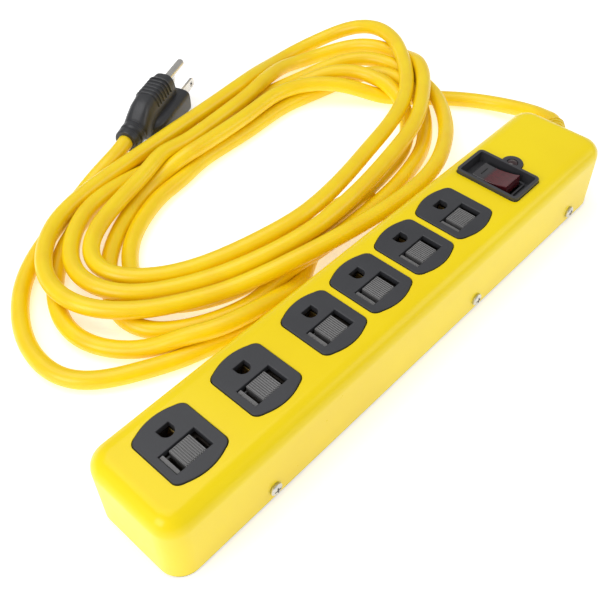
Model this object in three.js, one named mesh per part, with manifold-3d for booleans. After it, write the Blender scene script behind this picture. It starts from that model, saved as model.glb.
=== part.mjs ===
// Six-outlet power strip with a rocker switch, sliding safety covers, a coiled cord and a plug.
// Millimetres, +Z up. The origin is the centre of the strip's underside, +X runs along the strip
// towards the end where the cord leaves, and the cord is laid on the floor on the +Y side.

import * as THREE from 'three';
import { mergeVertices } from 'three/addons/utils/BufferGeometryUtils.js';
import Module from 'manifold-3d';

const wasm = await Module();
wasm.setup();

// Driving dimensions.
const LENGTH = 294;
const WIDTH = 50;
const HEIGHT = 37.6;
const WALL = 2.2;
const TOP_FILLET = 8;
const CORNER_RADIUS = 10;
const GAP = 0.3;
const PLATE_THICKNESS = 1;
const SHELL_BOTTOM = PLATE_THICKNESS + GAP;

// Outlets: six in a row, the first three wide apart for transformers.
const OUTLET_XS = [-118, -78.7, -39.4, -9.3, 20.6, 50.5];
const OUTLET_Y = 0.6;
const FACE_HALF_LENGTH = 13.1;
const FACE_HALF_WIDTH = 15.9;
const FACE_SAGITTA = 1.9;
const FACE_CORNER = 4;
const FACE_TOP = HEIGHT + 0.6;
const FACE_BOTTOM = HEIGHT - 2.6;
const SLOT_X = 6.35;
const SLOT_Y = -4.2;
const SLOT_HALF_LENGTH = 4;
const GROUND_Y = 7.56;
const GROUND_RADIUS = 3.1;
const GROUND_FLAT = 2.4;
const WINDOW = { x0: -9.75, x1: 7.8, y0: -9.4, y1: 1.05 };

// Safety covers.
const COVER_BOTTOM = HEIGHT - 4.3;
const COVER_DECK = HEIGHT - 3.3;
const COVER_TOP = HEIGHT - 1;
const COVER_PAD_HALF = 5;
const COVER_RIBS = 7;

// Contacts and their carrier.
const CARRIER = { x0: -137, x1: 69, y0: -15, y1: 16.2, z0: 23, z1: HEIGHT - 4.6 };
const BUS_Z = 14;
const BUS_THICKNESS = 1;
const CONTACT_TOP = CARRIER.z0 - 0.5;

// Rocker switch.
const SWITCH_X = 86;
const SWITCH_Y = 0.5;
const BEZEL_HALF_X = 10.7;
const BEZEL_HALF_Y = 17.2;
const BEZEL_CORNER = 2.5;
const BEZEL_WALL = 1.6;
const BEZEL_RISE = 1.8;
const BEZEL_DEPTH = 5;
const BEZEL_FLOOR = 1;
const LOBE_RADIUS = 5.2;
const LENS_RADIUS = 2.6;
const LENS_X = SWITCH_X + BEZEL_HALF_X + 2;
const ROCKER_HALF_X = 6;
const ROCKER_HALF_Y = 9.7;
const ROCKER_TILT = THREE.MathUtils.degToRad(7);
const ROCKER_PIVOT_Z = HEIGHT - 7.5;
const PIN_RADIUS = 1.2;

// Side screws that hold the base plate.
const SCREW_XS = [-96.2, 38.6, 120.8];
const SCREW_Z = 7.3;
const SCREW_HEAD_RADIUS = 3;
const SCREW_HEAD_HEIGHT = 1.5;
const SCREW_SHANK_RADIUS = 1.6;

// Cord: its radius, where it leaves the strip, and the stretches that are not coiled.
const CORD_RADIUS = 4.3;
const EXIT_Z = 16;
const EXIT_Y = 8;
const EXIT_BEND = 30;
const RELIEF_LENGTH = 24;
const CORD_LEAD = [
  [170.4, 15.8, 15.9], [173.6, 19.8, 15], [176, 25, 13.4], [177.8, 32, 11.4], [178.8, 41, 9],
  [179, 51, 6.8], [177.8, 60, 5.2], [175, 69, 4.4], [170.5, 77, 4.4],
];
const CORD_TAIL = [
  [-8, 180.3, 13], [-22, 176.5, 11.4], [-38, 172.5, 8.6], [-53, 168, 6], [-67, 163, 4.6],
  [-82, 155.5, 4.4], [-96, 145.5, 4.4], [-106, 134.5, 4.4], [-114, 122, 4.4], [-119.5, 108, 4.4],
  [-121.5, 94, 4.4], [-120, 81, 4.4], [-112, 71, 4.4], [-100, 63.5, 4.4], [-88, 57.5, 4.4],
  [-78.5, 53.5, 4.4],
];
const COIL_BOTTOM = GAP;
const COIL_TOP = 26;
const COIL_OUTSIDE = [
  [-64, 34], [-71, 47], [-73, 56], [-88, 66], [-98, 79], [-104, 95], [-103, 110], [-97, 124],
  [-90, 136], [-81, 146], [-68, 155], [-52, 161], [-34, 166], [-14, 170], [4, 172.5], [22, 177],
  [45, 183], [62, 187], [90, 192], [128, 196], [165, 196], [187, 192], [200, 184], [206, 170],
  [205, 150], [198, 131], [188, 115], [178, 98], [171, 80], [156, 66], [135, 54], [112, 43],
  [92, 33], [72, 28.5], [40, 28.5], [0, 28.5], [-36, 28.5], [-54, 29.5],
];
const COIL_INSIDE = [
  [-50, 112], [-41, 123], [-27, 132], [-5, 141], [20, 144], [45, 142], [70, 143], [95, 141],
  [117, 131], [130, 118], [130, 105], [118, 97], [100, 90], [78, 85], [55, 82], [30, 80],
  [5, 79], [-15, 82], [-33, 88], [-45, 98],
];

// Plug: it lies beside the coil with its ground pin upwards, turned about Z.
const PLUG_BACK = [0.5, 183.5];
const PLUG_TURN = THREE.MathUtils.degToRad(22.6);
const PLUG_LENGTH = 56;
const PLUG_AXIS_Z = 14;
const BLADE_LENGTH = 16.5;
const BLADE_SPACING = 12.7;
const GROUND_PIN_UP = 7.9;

// Colours and finishes.
const finish = (color, roughness, metalness = 0) => ({ color, roughness, metalness });
const YELLOW = finish(0xf5d414, 0.4);
const CORD_YELLOW = finish(0xf6cf10, 0.45);
const CHARCOAL = finish(0x46464a, 0.55);
const BLACK = finish(0x242427, 0.55);
const GREY = finish(0x8d8d90, 0.5);
const SMOKED_RED = finish(0x7d3a40, 0.3);
const STEEL = finish(0xb9bcc0, 0.35, 1);
const DARK_STEEL = finish(0x3a3c3f, 0.5, 1);
const BRASS = finish(0xb99a4c, 0.35, 1);
const PHENOLIC = finish(0x5b3a24, 0.6);
const GREEN = finish(0x1f6a3c, 0.5);
const BLUE = finish(0x2456a4, 0.5);
const WHITE = finish(0xe9e7df, 0.5);
const GLASS = finish(0xd9b98c, 0.1);

const assembly = new THREE.Group();

// Adds one named mesh to the assembly.
function addMesh(name, geometry, look, parent = assembly) {
  const mesh = new THREE.Mesh(geometry, new THREE.MeshStandardMaterial(look));
  mesh.name = name;
  parent.add(mesh);
  return mesh;
}

// Turns a closed geometry into a solid that can be joined and cut.
function toSolid(geometry) {
  geometry.deleteAttribute('normal');
  geometry.deleteAttribute('uv');
  const merged = mergeVertices(geometry, 1e-4);
  const vertProperties = new Float32Array(merged.attributes.position.array);
  const triVerts = new Uint32Array(merged.index.array);
  return new wasm.Manifold(new wasm.Mesh({ numProp: 3, vertProperties, triVerts }));
}

// Turns a solid back into a geometry.
function toGeometry(solid) {
  const { vertProperties, triVerts } = solid.getMesh();
  const geometry = new THREE.BufferGeometry();
  geometry.setAttribute('position', new THREE.BufferAttribute(vertProperties, 3));
  geometry.setIndex(new THREE.BufferAttribute(triVerts, 1));
  geometry.computeVertexNormals();
  return geometry;
}

function box(x0, x1, y0, y1, z0, z1) {
  const geometry = new THREE.BoxGeometry(x1 - x0, y1 - y0, z1 - z0);
  return toSolid(geometry.translate((x0 + x1) / 2, (y0 + y1) / 2, (z0 + z1) / 2));
}

// A cylinder between two heights, standing on a point of the XY plane.
function post(x, y, z0, z1, radius, sides = 16) {
  const geometry = new THREE.CylinderGeometry(radius, radius, z1 - z0, sides);
  return toSolid(geometry.rotateX(Math.PI / 2).translate(x, y, (z0 + z1) / 2));
}

// A flat shape pulled up between two heights.
function plate(shape, z0, z1, curveSegments = 8) {
  const settings = { depth: z1 - z0, bevelEnabled: false, curveSegments, steps: 1 };
  return toSolid(new THREE.ExtrudeGeometry(shape, settings).translate(0, 0, z0));
}

function roundedRectangle(halfX, halfY, radius, centreX = 0, centreY = 0) {
  const shape = new THREE.Shape();
  const corners = [[1, -1, -0.5], [1, 1, 0], [-1, 1, 0.5], [-1, -1, 1]];
  for (const [sx, sy, start] of corners) {
    const x = centreX + sx * (halfX - radius);
    const y = centreY + sy * (halfY - radius);
    shape.absarc(x, y, radius, start * Math.PI, (start + 0.5) * Math.PI, false);
  }
  shape.closePath();
  return shape;
}

// Skins a row of closed rings, which all have as many points, and closes both ends.
function loft(rings) {
  const count = rings[0].length;
  const positions = rings.flat().flatMap((point) => [point.x, point.y, point.z]);
  const index = [];
  for (let level = 0; level < rings.length - 1; level += 1) {
    for (let i = 0; i < count; i += 1) {
      const a = level * count + i;
      const b = level * count + ((i + 1) % count);
      index.push(a, b, b + count, a, b + count, a + count);
    }
  }
  const last = (rings.length - 1) * count;
  for (let i = 1; i < count - 1; i += 1) {
    index.push(0, i + 1, i);
    index.push(last, last + i, last + i + 1);
  }
  const geometry = new THREE.BufferGeometry();
  geometry.setAttribute('position', new THREE.Float32BufferAttribute(positions, 3));
  geometry.setIndex(index);
  return toSolid(geometry);
}

// The strip's rounded block, inset by a margin: straight sides and a filleted top edge.
function roundedBlock(margin, bottom, top) {
  const steps = 6;
  const cornerSteps = 6;
  const fillet = TOP_FILLET - margin;
  const levels = [{ inset: 0, z: bottom }];
  for (let step = 0; step <= steps; step += 1) {
    const angle = (step / steps) * (Math.PI / 2);
    levels.push({ inset: fillet * (1 - Math.cos(angle)), z: top - fillet + fillet * Math.sin(angle) });
  }
  const rings = levels.map(({ inset, z }) => {
    const halfX = LENGTH / 2 - margin - inset;
    const halfY = WIDTH / 2 - margin - inset;
    const radius = Math.max(CORNER_RADIUS - margin - inset, 0.4);
    const ring = [];
    for (const [sx, sy, start] of [[1, -1, -0.5], [1, 1, 0], [-1, 1, 0.5], [-1, -1, 1]]) {
      for (let i = 0; i <= cornerSteps; i += 1) {
        const angle = (start + (0.5 * i) / cornerSteps) * Math.PI;
        const x = sx * (halfX - radius) + radius * Math.cos(angle);
        const y = sy * (halfY - radius) + radius * Math.sin(angle);
        ring.push(new THREE.Vector3(x, y, z));
      }
    }
    return ring;
  });
  return loft(rings);
}

// The outline of an outlet face: flat across the strip, bowed along its two sides.
function faceOutline(extra) {
  const halfX = FACE_HALF_LENGTH + extra;
  const halfY = FACE_HALF_WIDTH + extra;
  const corner = FACE_CORNER;
  const side = halfY - FACE_SAGITTA;
  const shape = new THREE.Shape();
  shape.moveTo(-halfX + corner, -side);
  shape.quadraticCurveTo(0, -halfY - FACE_SAGITTA, halfX - corner, -side);
  shape.quadraticCurveTo(halfX, -side + corner * 0.25, halfX, -side + corner);
  shape.lineTo(halfX, side - corner);
  shape.quadraticCurveTo(halfX, side - corner * 0.25, halfX - corner, side);
  shape.quadraticCurveTo(0, halfY + FACE_SAGITTA, -halfX + corner, side);
  shape.quadraticCurveTo(-halfX, side - corner * 0.25, -halfX, side - corner);
  shape.lineTo(-halfX, -side + corner);
  shape.quadraticCurveTo(-halfX, -side + corner * 0.25, -halfX + corner, -side);
  return shape;
}

// The round opening for a ground pin, with its flat on the +Y side.
function groundOutline(radius, flat) {
  const shape = new THREE.Shape();
  shape.moveTo(-radius, GROUND_Y + flat);
  shape.lineTo(-radius, GROUND_Y);
  shape.absarc(0, GROUND_Y, radius, Math.PI, 2 * Math.PI, false);
  shape.lineTo(radius, GROUND_Y + flat);
  shape.closePath();
  return shape;
}

const upright = (shape, z0, z1, x, y, segments) => plate(shape, z0, z1, segments).translate([x, y, 0]);

// ---- Shell, base plate and screws ----

function bezelOutline(extra) {
  return roundedRectangle(BEZEL_HALF_X + extra, BEZEL_HALF_Y + extra, BEZEL_CORNER, SWITCH_X, SWITCH_Y);
}

function lobe(extra, z0, z1) {
  return post(LENS_X, SWITCH_Y, z0, z1, LOBE_RADIUS + extra, 20);
}

function makeHousing() {
  let shell = roundedBlock(0, SHELL_BOTTOM, HEIGHT);
  shell = shell.subtract(roundedBlock(WALL, SHELL_BOTTOM - 1, HEIGHT - WALL));
  const core = roundedBlock(WALL / 2, SHELL_BOTTOM, HEIGHT - WALL / 2);
  for (const x of [CARRIER.x0 - 2, CARRIER.x1 + 0.5]) {
    shell = shell.add(box(x, x + 1.5, -WIDTH, WIDTH, 20, HEIGHT).intersect(core));
  }
  for (const y of [-15, 15]) {
    shell = shell.add(post(107, y, 22, HEIGHT, 2.4, 12).intersect(core));
  }
  for (const x of OUTLET_XS) {
    shell = shell.subtract(upright(faceOutline(GAP), 30, HEIGHT + 1, x, OUTLET_Y, 6));
  }
  shell = shell.subtract(plate(bezelOutline(GAP), 30, HEIGHT + 1, 4));
  shell = shell.subtract(lobe(GAP, 30, HEIGHT + 1));
  for (const x of SCREW_XS) {
    const hole = new THREE.CylinderGeometry(SCREW_SHANK_RADIUS + GAP, SCREW_SHANK_RADIUS + GAP, WIDTH + 4, 12);
    shell = shell.subtract(toSolid(hole.translate(x, 0, SCREW_Z)));
  }
  const exit = new THREE.CylinderGeometry(7, 7, 10, 20).rotateZ(Math.PI / 2);
  return shell.subtract(toSolid(exit.translate(LENGTH / 2, EXIT_Y, EXIT_Z)));
}

function makeBasePlate() {
  const inset = 0.5;
  const outline = roundedRectangle(LENGTH / 2 - inset, WIDTH / 2 - inset, CORNER_RADIUS - inset);
  let solid = plate(outline, 0, PLATE_THICKNESS, 6);
  const outer = WIDTH / 2 - WALL - GAP;
  for (const x of SCREW_XS) {
    for (const side of [-1, 1]) {
      const [y0, y1] = side < 0 ? [-outer, -outer + 1] : [outer - 1, outer];
      solid = solid.add(box(x - 7, x + 7, y0, y1, 0.5, 13));
      const bore = new THREE.CylinderGeometry(SCREW_SHANK_RADIUS + GAP, SCREW_SHANK_RADIUS + GAP, 6, 12);
      solid = solid.subtract(toSolid(bore.translate(x, side * outer, SCREW_Z)));
    }
  }
  for (const x of [-100, 100]) {
    solid = solid.subtract(post(x, 0, -1, 3, 4.6, 16));
    solid = solid.subtract(box(x, x + 11, -2.5, 2.5, -1, 3));
  }
  return solid;
}

// A pan-head screw with a cross recess, its head towards +Y, its bearing face on the XZ plane.
function makeScrew() {
  const profile = [
    [0, -9], [SCREW_SHANK_RADIUS * 0.8, -9], [SCREW_SHANK_RADIUS, -8], [SCREW_SHANK_RADIUS, 0],
    [SCREW_HEAD_RADIUS, 0], [SCREW_HEAD_RADIUS, SCREW_HEAD_HEIGHT * 0.5],
    [SCREW_HEAD_RADIUS * 0.8, SCREW_HEAD_HEIGHT * 0.9], [0, SCREW_HEAD_HEIGHT],
  ];
  const points = profile.map(([radius, y]) => new THREE.Vector2(radius, y));
  let screw = toSolid(new THREE.LatheGeometry(points, 16));
  screw = screw.subtract(box(-1.7, 1.7, 0.5, 3, -0.35, 0.35));
  return screw.subtract(box(-0.35, 0.35, 0.5, 3, -1.7, 1.7));
}

addMesh('housing', toGeometry(makeHousing()), YELLOW);
addMesh('base_plate', toGeometry(makeBasePlate()), DARK_STEEL);
const screwGeometry = toGeometry(makeScrew());
for (const [side, name] of [[-1, 'front'], [1, 'rear']]) {
  SCREW_XS.forEach((x, i) => {
    const screw = addMesh(`side_screw_${name}_${i + 1}`, screwGeometry, STEEL);
    screw.position.set(x, side * (WIDTH / 2 + GAP), SCREW_Z);
    screw.rotation.z = side < 0 ? Math.PI : 0;
  });
}

// ---- Outlets: face, sliding safety cover, contacts ----

function makeFace() {
  let face = plate(faceOutline(0), FACE_BOTTOM, FACE_TOP, 6);
  face = face.subtract(box(WINDOW.x0, WINDOW.x1, WINDOW.y0, WINDOW.y1, FACE_BOTTOM - 1, FACE_TOP + 1));
  return face.subtract(plate(groundOutline(GROUND_RADIUS, GROUND_FLAT), FACE_BOTTOM - 1, FACE_TOP + 1, 14));
}

function makeCover() {
  const y0 = WINDOW.y0 + 0.45;
  const y1 = WINDOW.y1 - 0.45;
  const barStart = WINDOW.x0 + GAP;
  const barEnd = -SLOT_X - 1.3;
  let cover = box(barStart, COVER_PAD_HALF, y0, y1, COVER_BOTTOM, COVER_DECK);
  cover = cover.subtract(box(barEnd, -COVER_PAD_HALF, y0 + 0.7, y1 - 0.7, COVER_BOTTOM - 1, COVER_DECK + 1));
  cover = cover.add(box(barStart, barEnd, y0, y1, COVER_BOTTOM, COVER_TOP));
  cover = cover.add(box(-COVER_PAD_HALF, COVER_PAD_HALF, y0, y1, COVER_BOTTOM, COVER_TOP - 0.5));
  const pitch = (2 * COVER_PAD_HALF) / COVER_RIBS;
  for (let i = 0; i < COVER_RIBS; i += 1) {
    const x = -COVER_PAD_HALF + pitch * (i + 0.25);
    cover = cover.add(box(x, x + pitch * 0.5, y0 + 0.3, y1 - 0.3, COVER_TOP - 1, COVER_TOP));
  }
  return cover;
}

function makeCarrier() {
  let carrier = box(CARRIER.x0, CARRIER.x1, CARRIER.y0, CARRIER.y1, CARRIER.z0, CARRIER.z1);
  for (const x of OUTLET_XS) {
    const slotY = OUTLET_Y + SLOT_Y;
    for (const side of [-SLOT_X, SLOT_X]) {
      const [y0, y1] = [slotY - SLOT_HALF_LENGTH, slotY + SLOT_HALF_LENGTH];
      carrier = carrier.subtract(box(x + side - 1.3, x + side + 1.3, y0, y1, 20, HEIGHT));
    }
    const y = OUTLET_Y + GROUND_Y;
    carrier = carrier.subtract(box(x - 3.1, x + 3.1, y - 3.1, y + 3.1, 20, HEIGHT));
  }
  return carrier;
}

// A bus bar: a strip along the outlets with a pair of spring tines for each one.
function makeBusBar(stripY, contactX, contactY, inner, outer) {
  const top = BUS_Z + BUS_THICKNESS;
  const [strip0, strip1] = stripY;
  const [contact0, contact1] = contactY;
  const start = OUTLET_XS[0] + contactX - 6;
  let bar = box(start, CARRIER.x1 - 1, strip0, strip1, BUS_Z, top);
  for (const outletX of OUTLET_XS) {
    const x = outletX + contactX;
    const tab0 = Math.min(contact0, strip0 + 0.5);
    const tab1 = Math.max(contact1, strip1 - 0.5);
    bar = bar.add(box(x - outer, x + outer, tab0, tab1, BUS_Z, top));
    bar = bar.add(box(x - outer, x - inner, contact0, contact1, BUS_Z, CONTACT_TOP));
    bar = bar.add(box(x + inner, x + outer, contact0, contact1, BUS_Z, CONTACT_TOP));
  }
  return bar;
}

const faceGeometry = toGeometry(makeFace());
const coverGeometry = toGeometry(makeCover());
OUTLET_XS.forEach((x, i) => {
  const outlet = new THREE.Group();
  outlet.position.set(x, OUTLET_Y, 0);
  assembly.add(outlet);
  addMesh(`outlet_face_${i + 1}`, faceGeometry, CHARCOAL, outlet);
  addMesh(`safety_cover_${i + 1}`, coverGeometry, GREY, outlet);
});
addMesh('outlet_carrier', toGeometry(makeCarrier()), PHENOLIC);
addMesh('line_bus_bar', toGeometry(makeBusBar([-12.5, -9.5], -SLOT_X, [-7.4, -0.4], 1.2, 2)), BRASS);
addMesh('neutral_bus_bar', toGeometry(makeBusBar([1.4, 4], SLOT_X, [-7.4, -0.4], 1.2, 2)), BRASS);
addMesh('ground_bus_bar', toGeometry(makeBusBar([12, 15], 0, [5.6, 10.8], 2.4, 3.2)), BRASS);

// ---- Switch, indicator and surge board ----

function makeBezel() {
  const bottom = HEIGHT - BEZEL_DEPTH;
  let bezel = plate(bezelOutline(0), bottom, HEIGHT + BEZEL_RISE, 4);
  bezel = bezel.add(lobe(0, bottom, HEIGHT + BEZEL_RISE * 0.5));
  const well = roundedRectangle(BEZEL_HALF_X - BEZEL_WALL, BEZEL_HALF_Y - BEZEL_WALL, 1, SWITCH_X, SWITCH_Y);
  bezel = bezel.subtract(plate(well, bottom + BEZEL_FLOOR, HEIGHT + 5, 3));
  const clearX = ROCKER_HALF_X + 0.4;
  const clearY = ROCKER_HALF_Y + 0.9;
  const [x0, x1] = [SWITCH_X - clearX, SWITCH_X + clearX];
  bezel = bezel.subtract(box(x0, x1, SWITCH_Y - clearY, SWITCH_Y + clearY, bottom - 1, HEIGHT));
  return bezel.subtract(post(LENS_X, SWITCH_Y, bottom - 1, HEIGHT + 5, LENS_RADIUS + GAP, 16));
}

// The rocker's outline across the strip: two finger faces that meet in a shallow valley.
function makeRocker() {
  const rise = Math.tan(ROCKER_TILT) * ROCKER_HALF_Y;
  const top = HEIGHT - 0.4 - ROCKER_PIVOT_Z;
  const shape = new THREE.Shape();
  shape.moveTo(-ROCKER_HALF_Y, top + rise);
  shape.lineTo(-ROCKER_HALF_Y, top - 4.4);
  shape.lineTo(-3.2, -3.4);
  shape.absarc(0, -3.4, 3.2, Math.PI, 2 * Math.PI, false);
  shape.lineTo(ROCKER_HALF_Y, top - 4.4);
  shape.lineTo(ROCKER_HALF_Y, top + rise);
  shape.quadraticCurveTo(0, top - rise, -ROCKER_HALF_Y, top + rise);
  const bore = new THREE.Path();
  bore.absarc(0, 0, PIN_RADIUS + GAP, 0, 2 * Math.PI, true);
  shape.holes.push(bore);
  const settings = { depth: 2 * ROCKER_HALF_X, bevelEnabled: false, curveSegments: 10 };
  const geometry = new THREE.ExtrudeGeometry(shape, settings).translate(0, 0, -ROCKER_HALF_X);
  return geometry.rotateX(Math.PI / 2).rotateZ(Math.PI / 2);
}

function makeSwitchBody() {
  const top = HEIGHT - BEZEL_DEPTH - GAP;
  let body = box(SWITCH_X - 9, SWITCH_X + 9, SWITCH_Y - 13, SWITCH_Y + 13, 18, top);
  const [x0, x1] = [SWITCH_X - ROCKER_HALF_X - 0.5, SWITCH_X + ROCKER_HALF_X + 0.5];
  body = body.subtract(box(x0, x1, SWITCH_Y - 11, SWITCH_Y + 11, 20, top + 1));
  const bore = new THREE.CylinderGeometry(PIN_RADIUS + GAP, PIN_RADIUS + GAP, 17, 12).rotateZ(Math.PI / 2);
  return body.subtract(toSolid(bore.translate(SWITCH_X, SWITCH_Y, ROCKER_PIVOT_Z)));
}

addMesh('switch_bezel', toGeometry(makeBezel()), CHARCOAL);
const rocker = addMesh('rocker', toGeometry(toSolid(makeRocker())), SMOKED_RED);
rocker.position.set(SWITCH_X, SWITCH_Y, ROCKER_PIVOT_Z);
rocker.rotation.x = -ROCKER_TILT;
const pin = addMesh('rocker_pivot_pin', toGeometry(post(0, 0, -8, 8, PIN_RADIUS, 12)), STEEL);
pin.position.set(SWITCH_X, SWITCH_Y, ROCKER_PIVOT_Z);
pin.rotation.y = Math.PI / 2;
addMesh('switch_body', toGeometry(makeSwitchBody()), BLACK);
for (const [name, y] of [['switch_line_terminal', -8], ['switch_load_terminal', 8]]) {
  const [y0, y1] = [SWITCH_Y + y - 3, SWITCH_Y + y + 3];
  addMesh(name, toGeometry(box(SWITCH_X - 0.4, SWITCH_X + 0.4, y0, y1, 10, 18 - GAP)), BRASS);
}
addMesh('switch_contact_arm', toGeometry(box(SWITCH_X - 2, SWITCH_X + 2, -9, 10, 20.4, 21.2)), BRASS);
const lensGeometry = toGeometry(post(LENS_X, SWITCH_Y, HEIGHT - 4, HEIGHT + 1.2, LENS_RADIUS, 16));
addMesh('indicator_lens', lensGeometry, SMOKED_RED);
addMesh('indicator_lamp', toGeometry(post(LENS_X, SWITCH_Y, 24, HEIGHT - 4 - GAP, 1.8, 12)), GLASS);
addMesh('surge_board', toGeometry(box(103, 136, -18, 18, 20, 21.6)), GREEN);
[-9, 0, 9].forEach((y, i) => {
  const disc = new THREE.CylinderGeometry(6, 6, 4, 16).rotateZ(Math.PI / 2).translate(123, y, 0);
  const legs = box(122.6, 123.4, y - 2.5, y + 2.5, 21.9, 25);
  const varistor = toSolid(disc.translate(0, 0, 28.4)).add(legs);
  addMesh(`varistor_${i + 1}`, toGeometry(i === 1 ? varistor.translate([7, 0, 0]) : varistor), BLUE);
});
const fuse = new THREE.CylinderGeometry(1.8, 1.8, 12, 12).rotateZ(Math.PI / 2).translate(113, 0, 24.2);
addMesh('thermal_fuse', toGeometry(toSolid(fuse)), WHITE);

// ---- Wiring inside ----

// A round wire or cord along a smooth curve through its points.
function cordTube(points, radius, sides, steps) {
  const vectors = points.map(([x, y, z]) => new THREE.Vector3(x, y, z));
  const path = new THREE.CatmullRomCurve3(vectors, false, 'centripetal');
  const section = new THREE.Shape();
  for (let i = 0; i < sides; i += 1) {
    const angle = (2 * Math.PI * i) / sides;
    const [x, y] = [radius * Math.cos(angle), radius * Math.sin(angle)];
    if (i === 0) section.moveTo(x, y);
    else section.lineTo(x, y);
  }
  section.closePath();
  return new THREE.ExtrudeGeometry(section, { steps, bevelEnabled: false, extrudePath: path });
}

const wires = [
  ['line_wire', BLACK, [[137, -4, 16], [126, -7, 12], [108, -9, 9], [94, -9, 7.4], [89.4, -7.5, 9.5], [88.2, -7.5, 14]]],
  ['neutral_wire', WHITE, [[137, 0, 13], [124, 0, 8], [104, 1, 6.5], [84, 3, 6.5], [72, 3.4, 9], [66, 2.7, 12]]],
  ['ground_wire', GREEN, [[137, 4, 16], [124, 11, 12], [104, 15, 9], [84, 16, 9], [72, 15, 10], [64, 13.5, 12]]],
  ['switched_wire', BLACK, [[83.8, 8.5, 13], [82.6, 7.5, 6], [79, 2, 3.2], [74, -6, 4], [68.5, -11, 7.5], [65, -11, 12]]],
];
for (const [name, look, points] of wires) {
  addMesh(name, cordTube(points, 1.4, 8, 14), look);
}
addMesh('ground_bond_screw', toGeometry(post(112, 18, 1 + GAP, 5, 2.4, 12)), STEEL);

// ---- Cord, strain relief and plug ----

// A tapered sleeve that bends with the cord, with a collar on each side of the wall.
function makeStrainRelief() {
  const sides = 20;
  const wallOutside = LENGTH / 2 + GAP;
  const profile = [
    [-9, 6], [-4.6, 6], [-4.2, 8.4], [-3.2, 8.4], [-2.8, 6.5], [0, 6.5],
    [0.4, 9], [3, 9], [3.6, 7.6], [RELIEF_LENGTH * 0.55, 6.6], [RELIEF_LENGTH, 5.4],
  ];
  const rings = profile.map(([along, radius]) => {
    const bend = Math.max(along - 3, 0) / EXIT_BEND;
    const x = wallOutside + Math.min(along, 3) + EXIT_BEND * Math.sin(bend);
    const y = EXIT_Y + EXIT_BEND * (1 - Math.cos(bend));
    const ring = [];
    for (let i = 0; i < sides; i += 1) {
      const angle = (2 * Math.PI * i) / sides;
      const across = radius * Math.cos(angle);
      const up = radius * Math.sin(angle);
      ring.push(new THREE.Vector3(x - across * Math.sin(bend), y + across * Math.cos(bend), EXIT_Z + up));
    }
    return ring;
  });
  return loft(rings);
}

function smoothOutline(points) {
  const vectors = points.map(([x, y]) => new THREE.Vector3(x, y, 0));
  const curve = new THREE.CatmullRomCurve3(vectors, true, 'centripetal');
  return curve.getPoints(points.length).slice(0, -1).map((point) => new THREE.Vector2(point.x, point.y));
}

function makeCoil() {
  const shape = new THREE.Shape(smoothOutline(COIL_OUTSIDE));
  shape.holes.push(new THREE.Path(smoothOutline(COIL_INSIDE).reverse()));
  return plate(shape, COIL_BOTTOM, COIL_TOP, 1);
}

// The plug's body along its own +X, from the collar at the cord to the block that carries the pins.
function makePlugBody() {
  const sides = 24;
  const profile = [
    [0, 7.4, 7.4, 0, 2], [9, 8.4, 8.4, 0, 2], [10, 7.6, 7.6, 0, 2], [11.5, 7.6, 7.6, 0, 2],
    [12.5, 9.2, 9.2, 0, 2], [17, 9.8, 9.8, 0, 2], [22, 12, 11.6, 0.5, 2.6], [34, 12.6, 13, 1, 3],
    [46, 13, 13.4, 0.5, 3.4], [PLUG_LENGTH - 1, 13, 13.2, 0, 4], [PLUG_LENGTH, 12.2, 12.4, 0, 4],
  ];
  const rings = profile.map(([x, halfY, halfZ, lift, power]) => {
    const ring = [];
    for (let i = 0; i < sides; i += 1) {
      const angle = (2 * Math.PI * i) / sides;
      const [c, s] = [Math.cos(angle), Math.sin(angle)];
      const y = halfY * Math.sign(c) * Math.abs(c) ** (2 / power);
      const z = halfZ * Math.sign(s) * Math.abs(s) ** (2 / power);
      ring.push(new THREE.Vector3(x, y, z + lift));
    }
    return ring;
  });
  return loft(rings);
}

addMesh('strain_relief', toGeometry(makeStrainRelief()), YELLOW);
addMesh('cord_lead', cordTube(CORD_LEAD, CORD_RADIUS, 10, 9), CORD_YELLOW);
addMesh('cord_coil', toGeometry(makeCoil()), CORD_YELLOW);
addMesh('cord_tail', cordTube(CORD_TAIL, CORD_RADIUS, 10, 20), CORD_YELLOW);

const plug = new THREE.Group();
plug.position.set(PLUG_BACK[0], PLUG_BACK[1], PLUG_AXIS_Z);
plug.rotation.z = PLUG_TURN;
assembly.add(plug);
addMesh('plug_body', toGeometry(makePlugBody()), BLACK, plug);
const bladeStart = PLUG_LENGTH + GAP;
for (const [name, side] of [['plug_line_blade', -1], ['plug_neutral_blade', 1]]) {
  const y = (side * BLADE_SPACING) / 2;
  let blade = box(bladeStart, bladeStart + BLADE_LENGTH, y - 0.75, y + 0.75, -7.2, -0.9);
  const hole = new THREE.CylinderGeometry(1.6, 1.6, 4, 12).translate(bladeStart + 12.5, y, -4);
  blade = blade.subtract(toSolid(hole));
  addMesh(name, toGeometry(blade), STEEL, plug);
}
const groundPin = new THREE.CylinderGeometry(2.4, 2.4, BLADE_LENGTH + 3, 16).rotateZ(Math.PI / 2);
groundPin.translate(bladeStart + (BLADE_LENGTH + 3) / 2, 0, GROUND_PIN_UP);
addMesh('plug_ground_pin', toGeometry(toSolid(groundPin)), STEEL, plug);

export default assembly;
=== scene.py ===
"""A six-outlet power strip with sliding safety covers, a rocker switch and a coiled cord.

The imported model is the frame: every piece stands where its CAD node stands, in metres. Solids are
shaped in millimetres and brought to metres when they are finished.
"""

from __future__ import annotations

import logging
import math
from dataclasses import dataclass, field
from enum import Enum
from typing import Any, Sequence

import bmesh
import bpy
import numpy as np
from mathutils import Matrix, Vector


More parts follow.
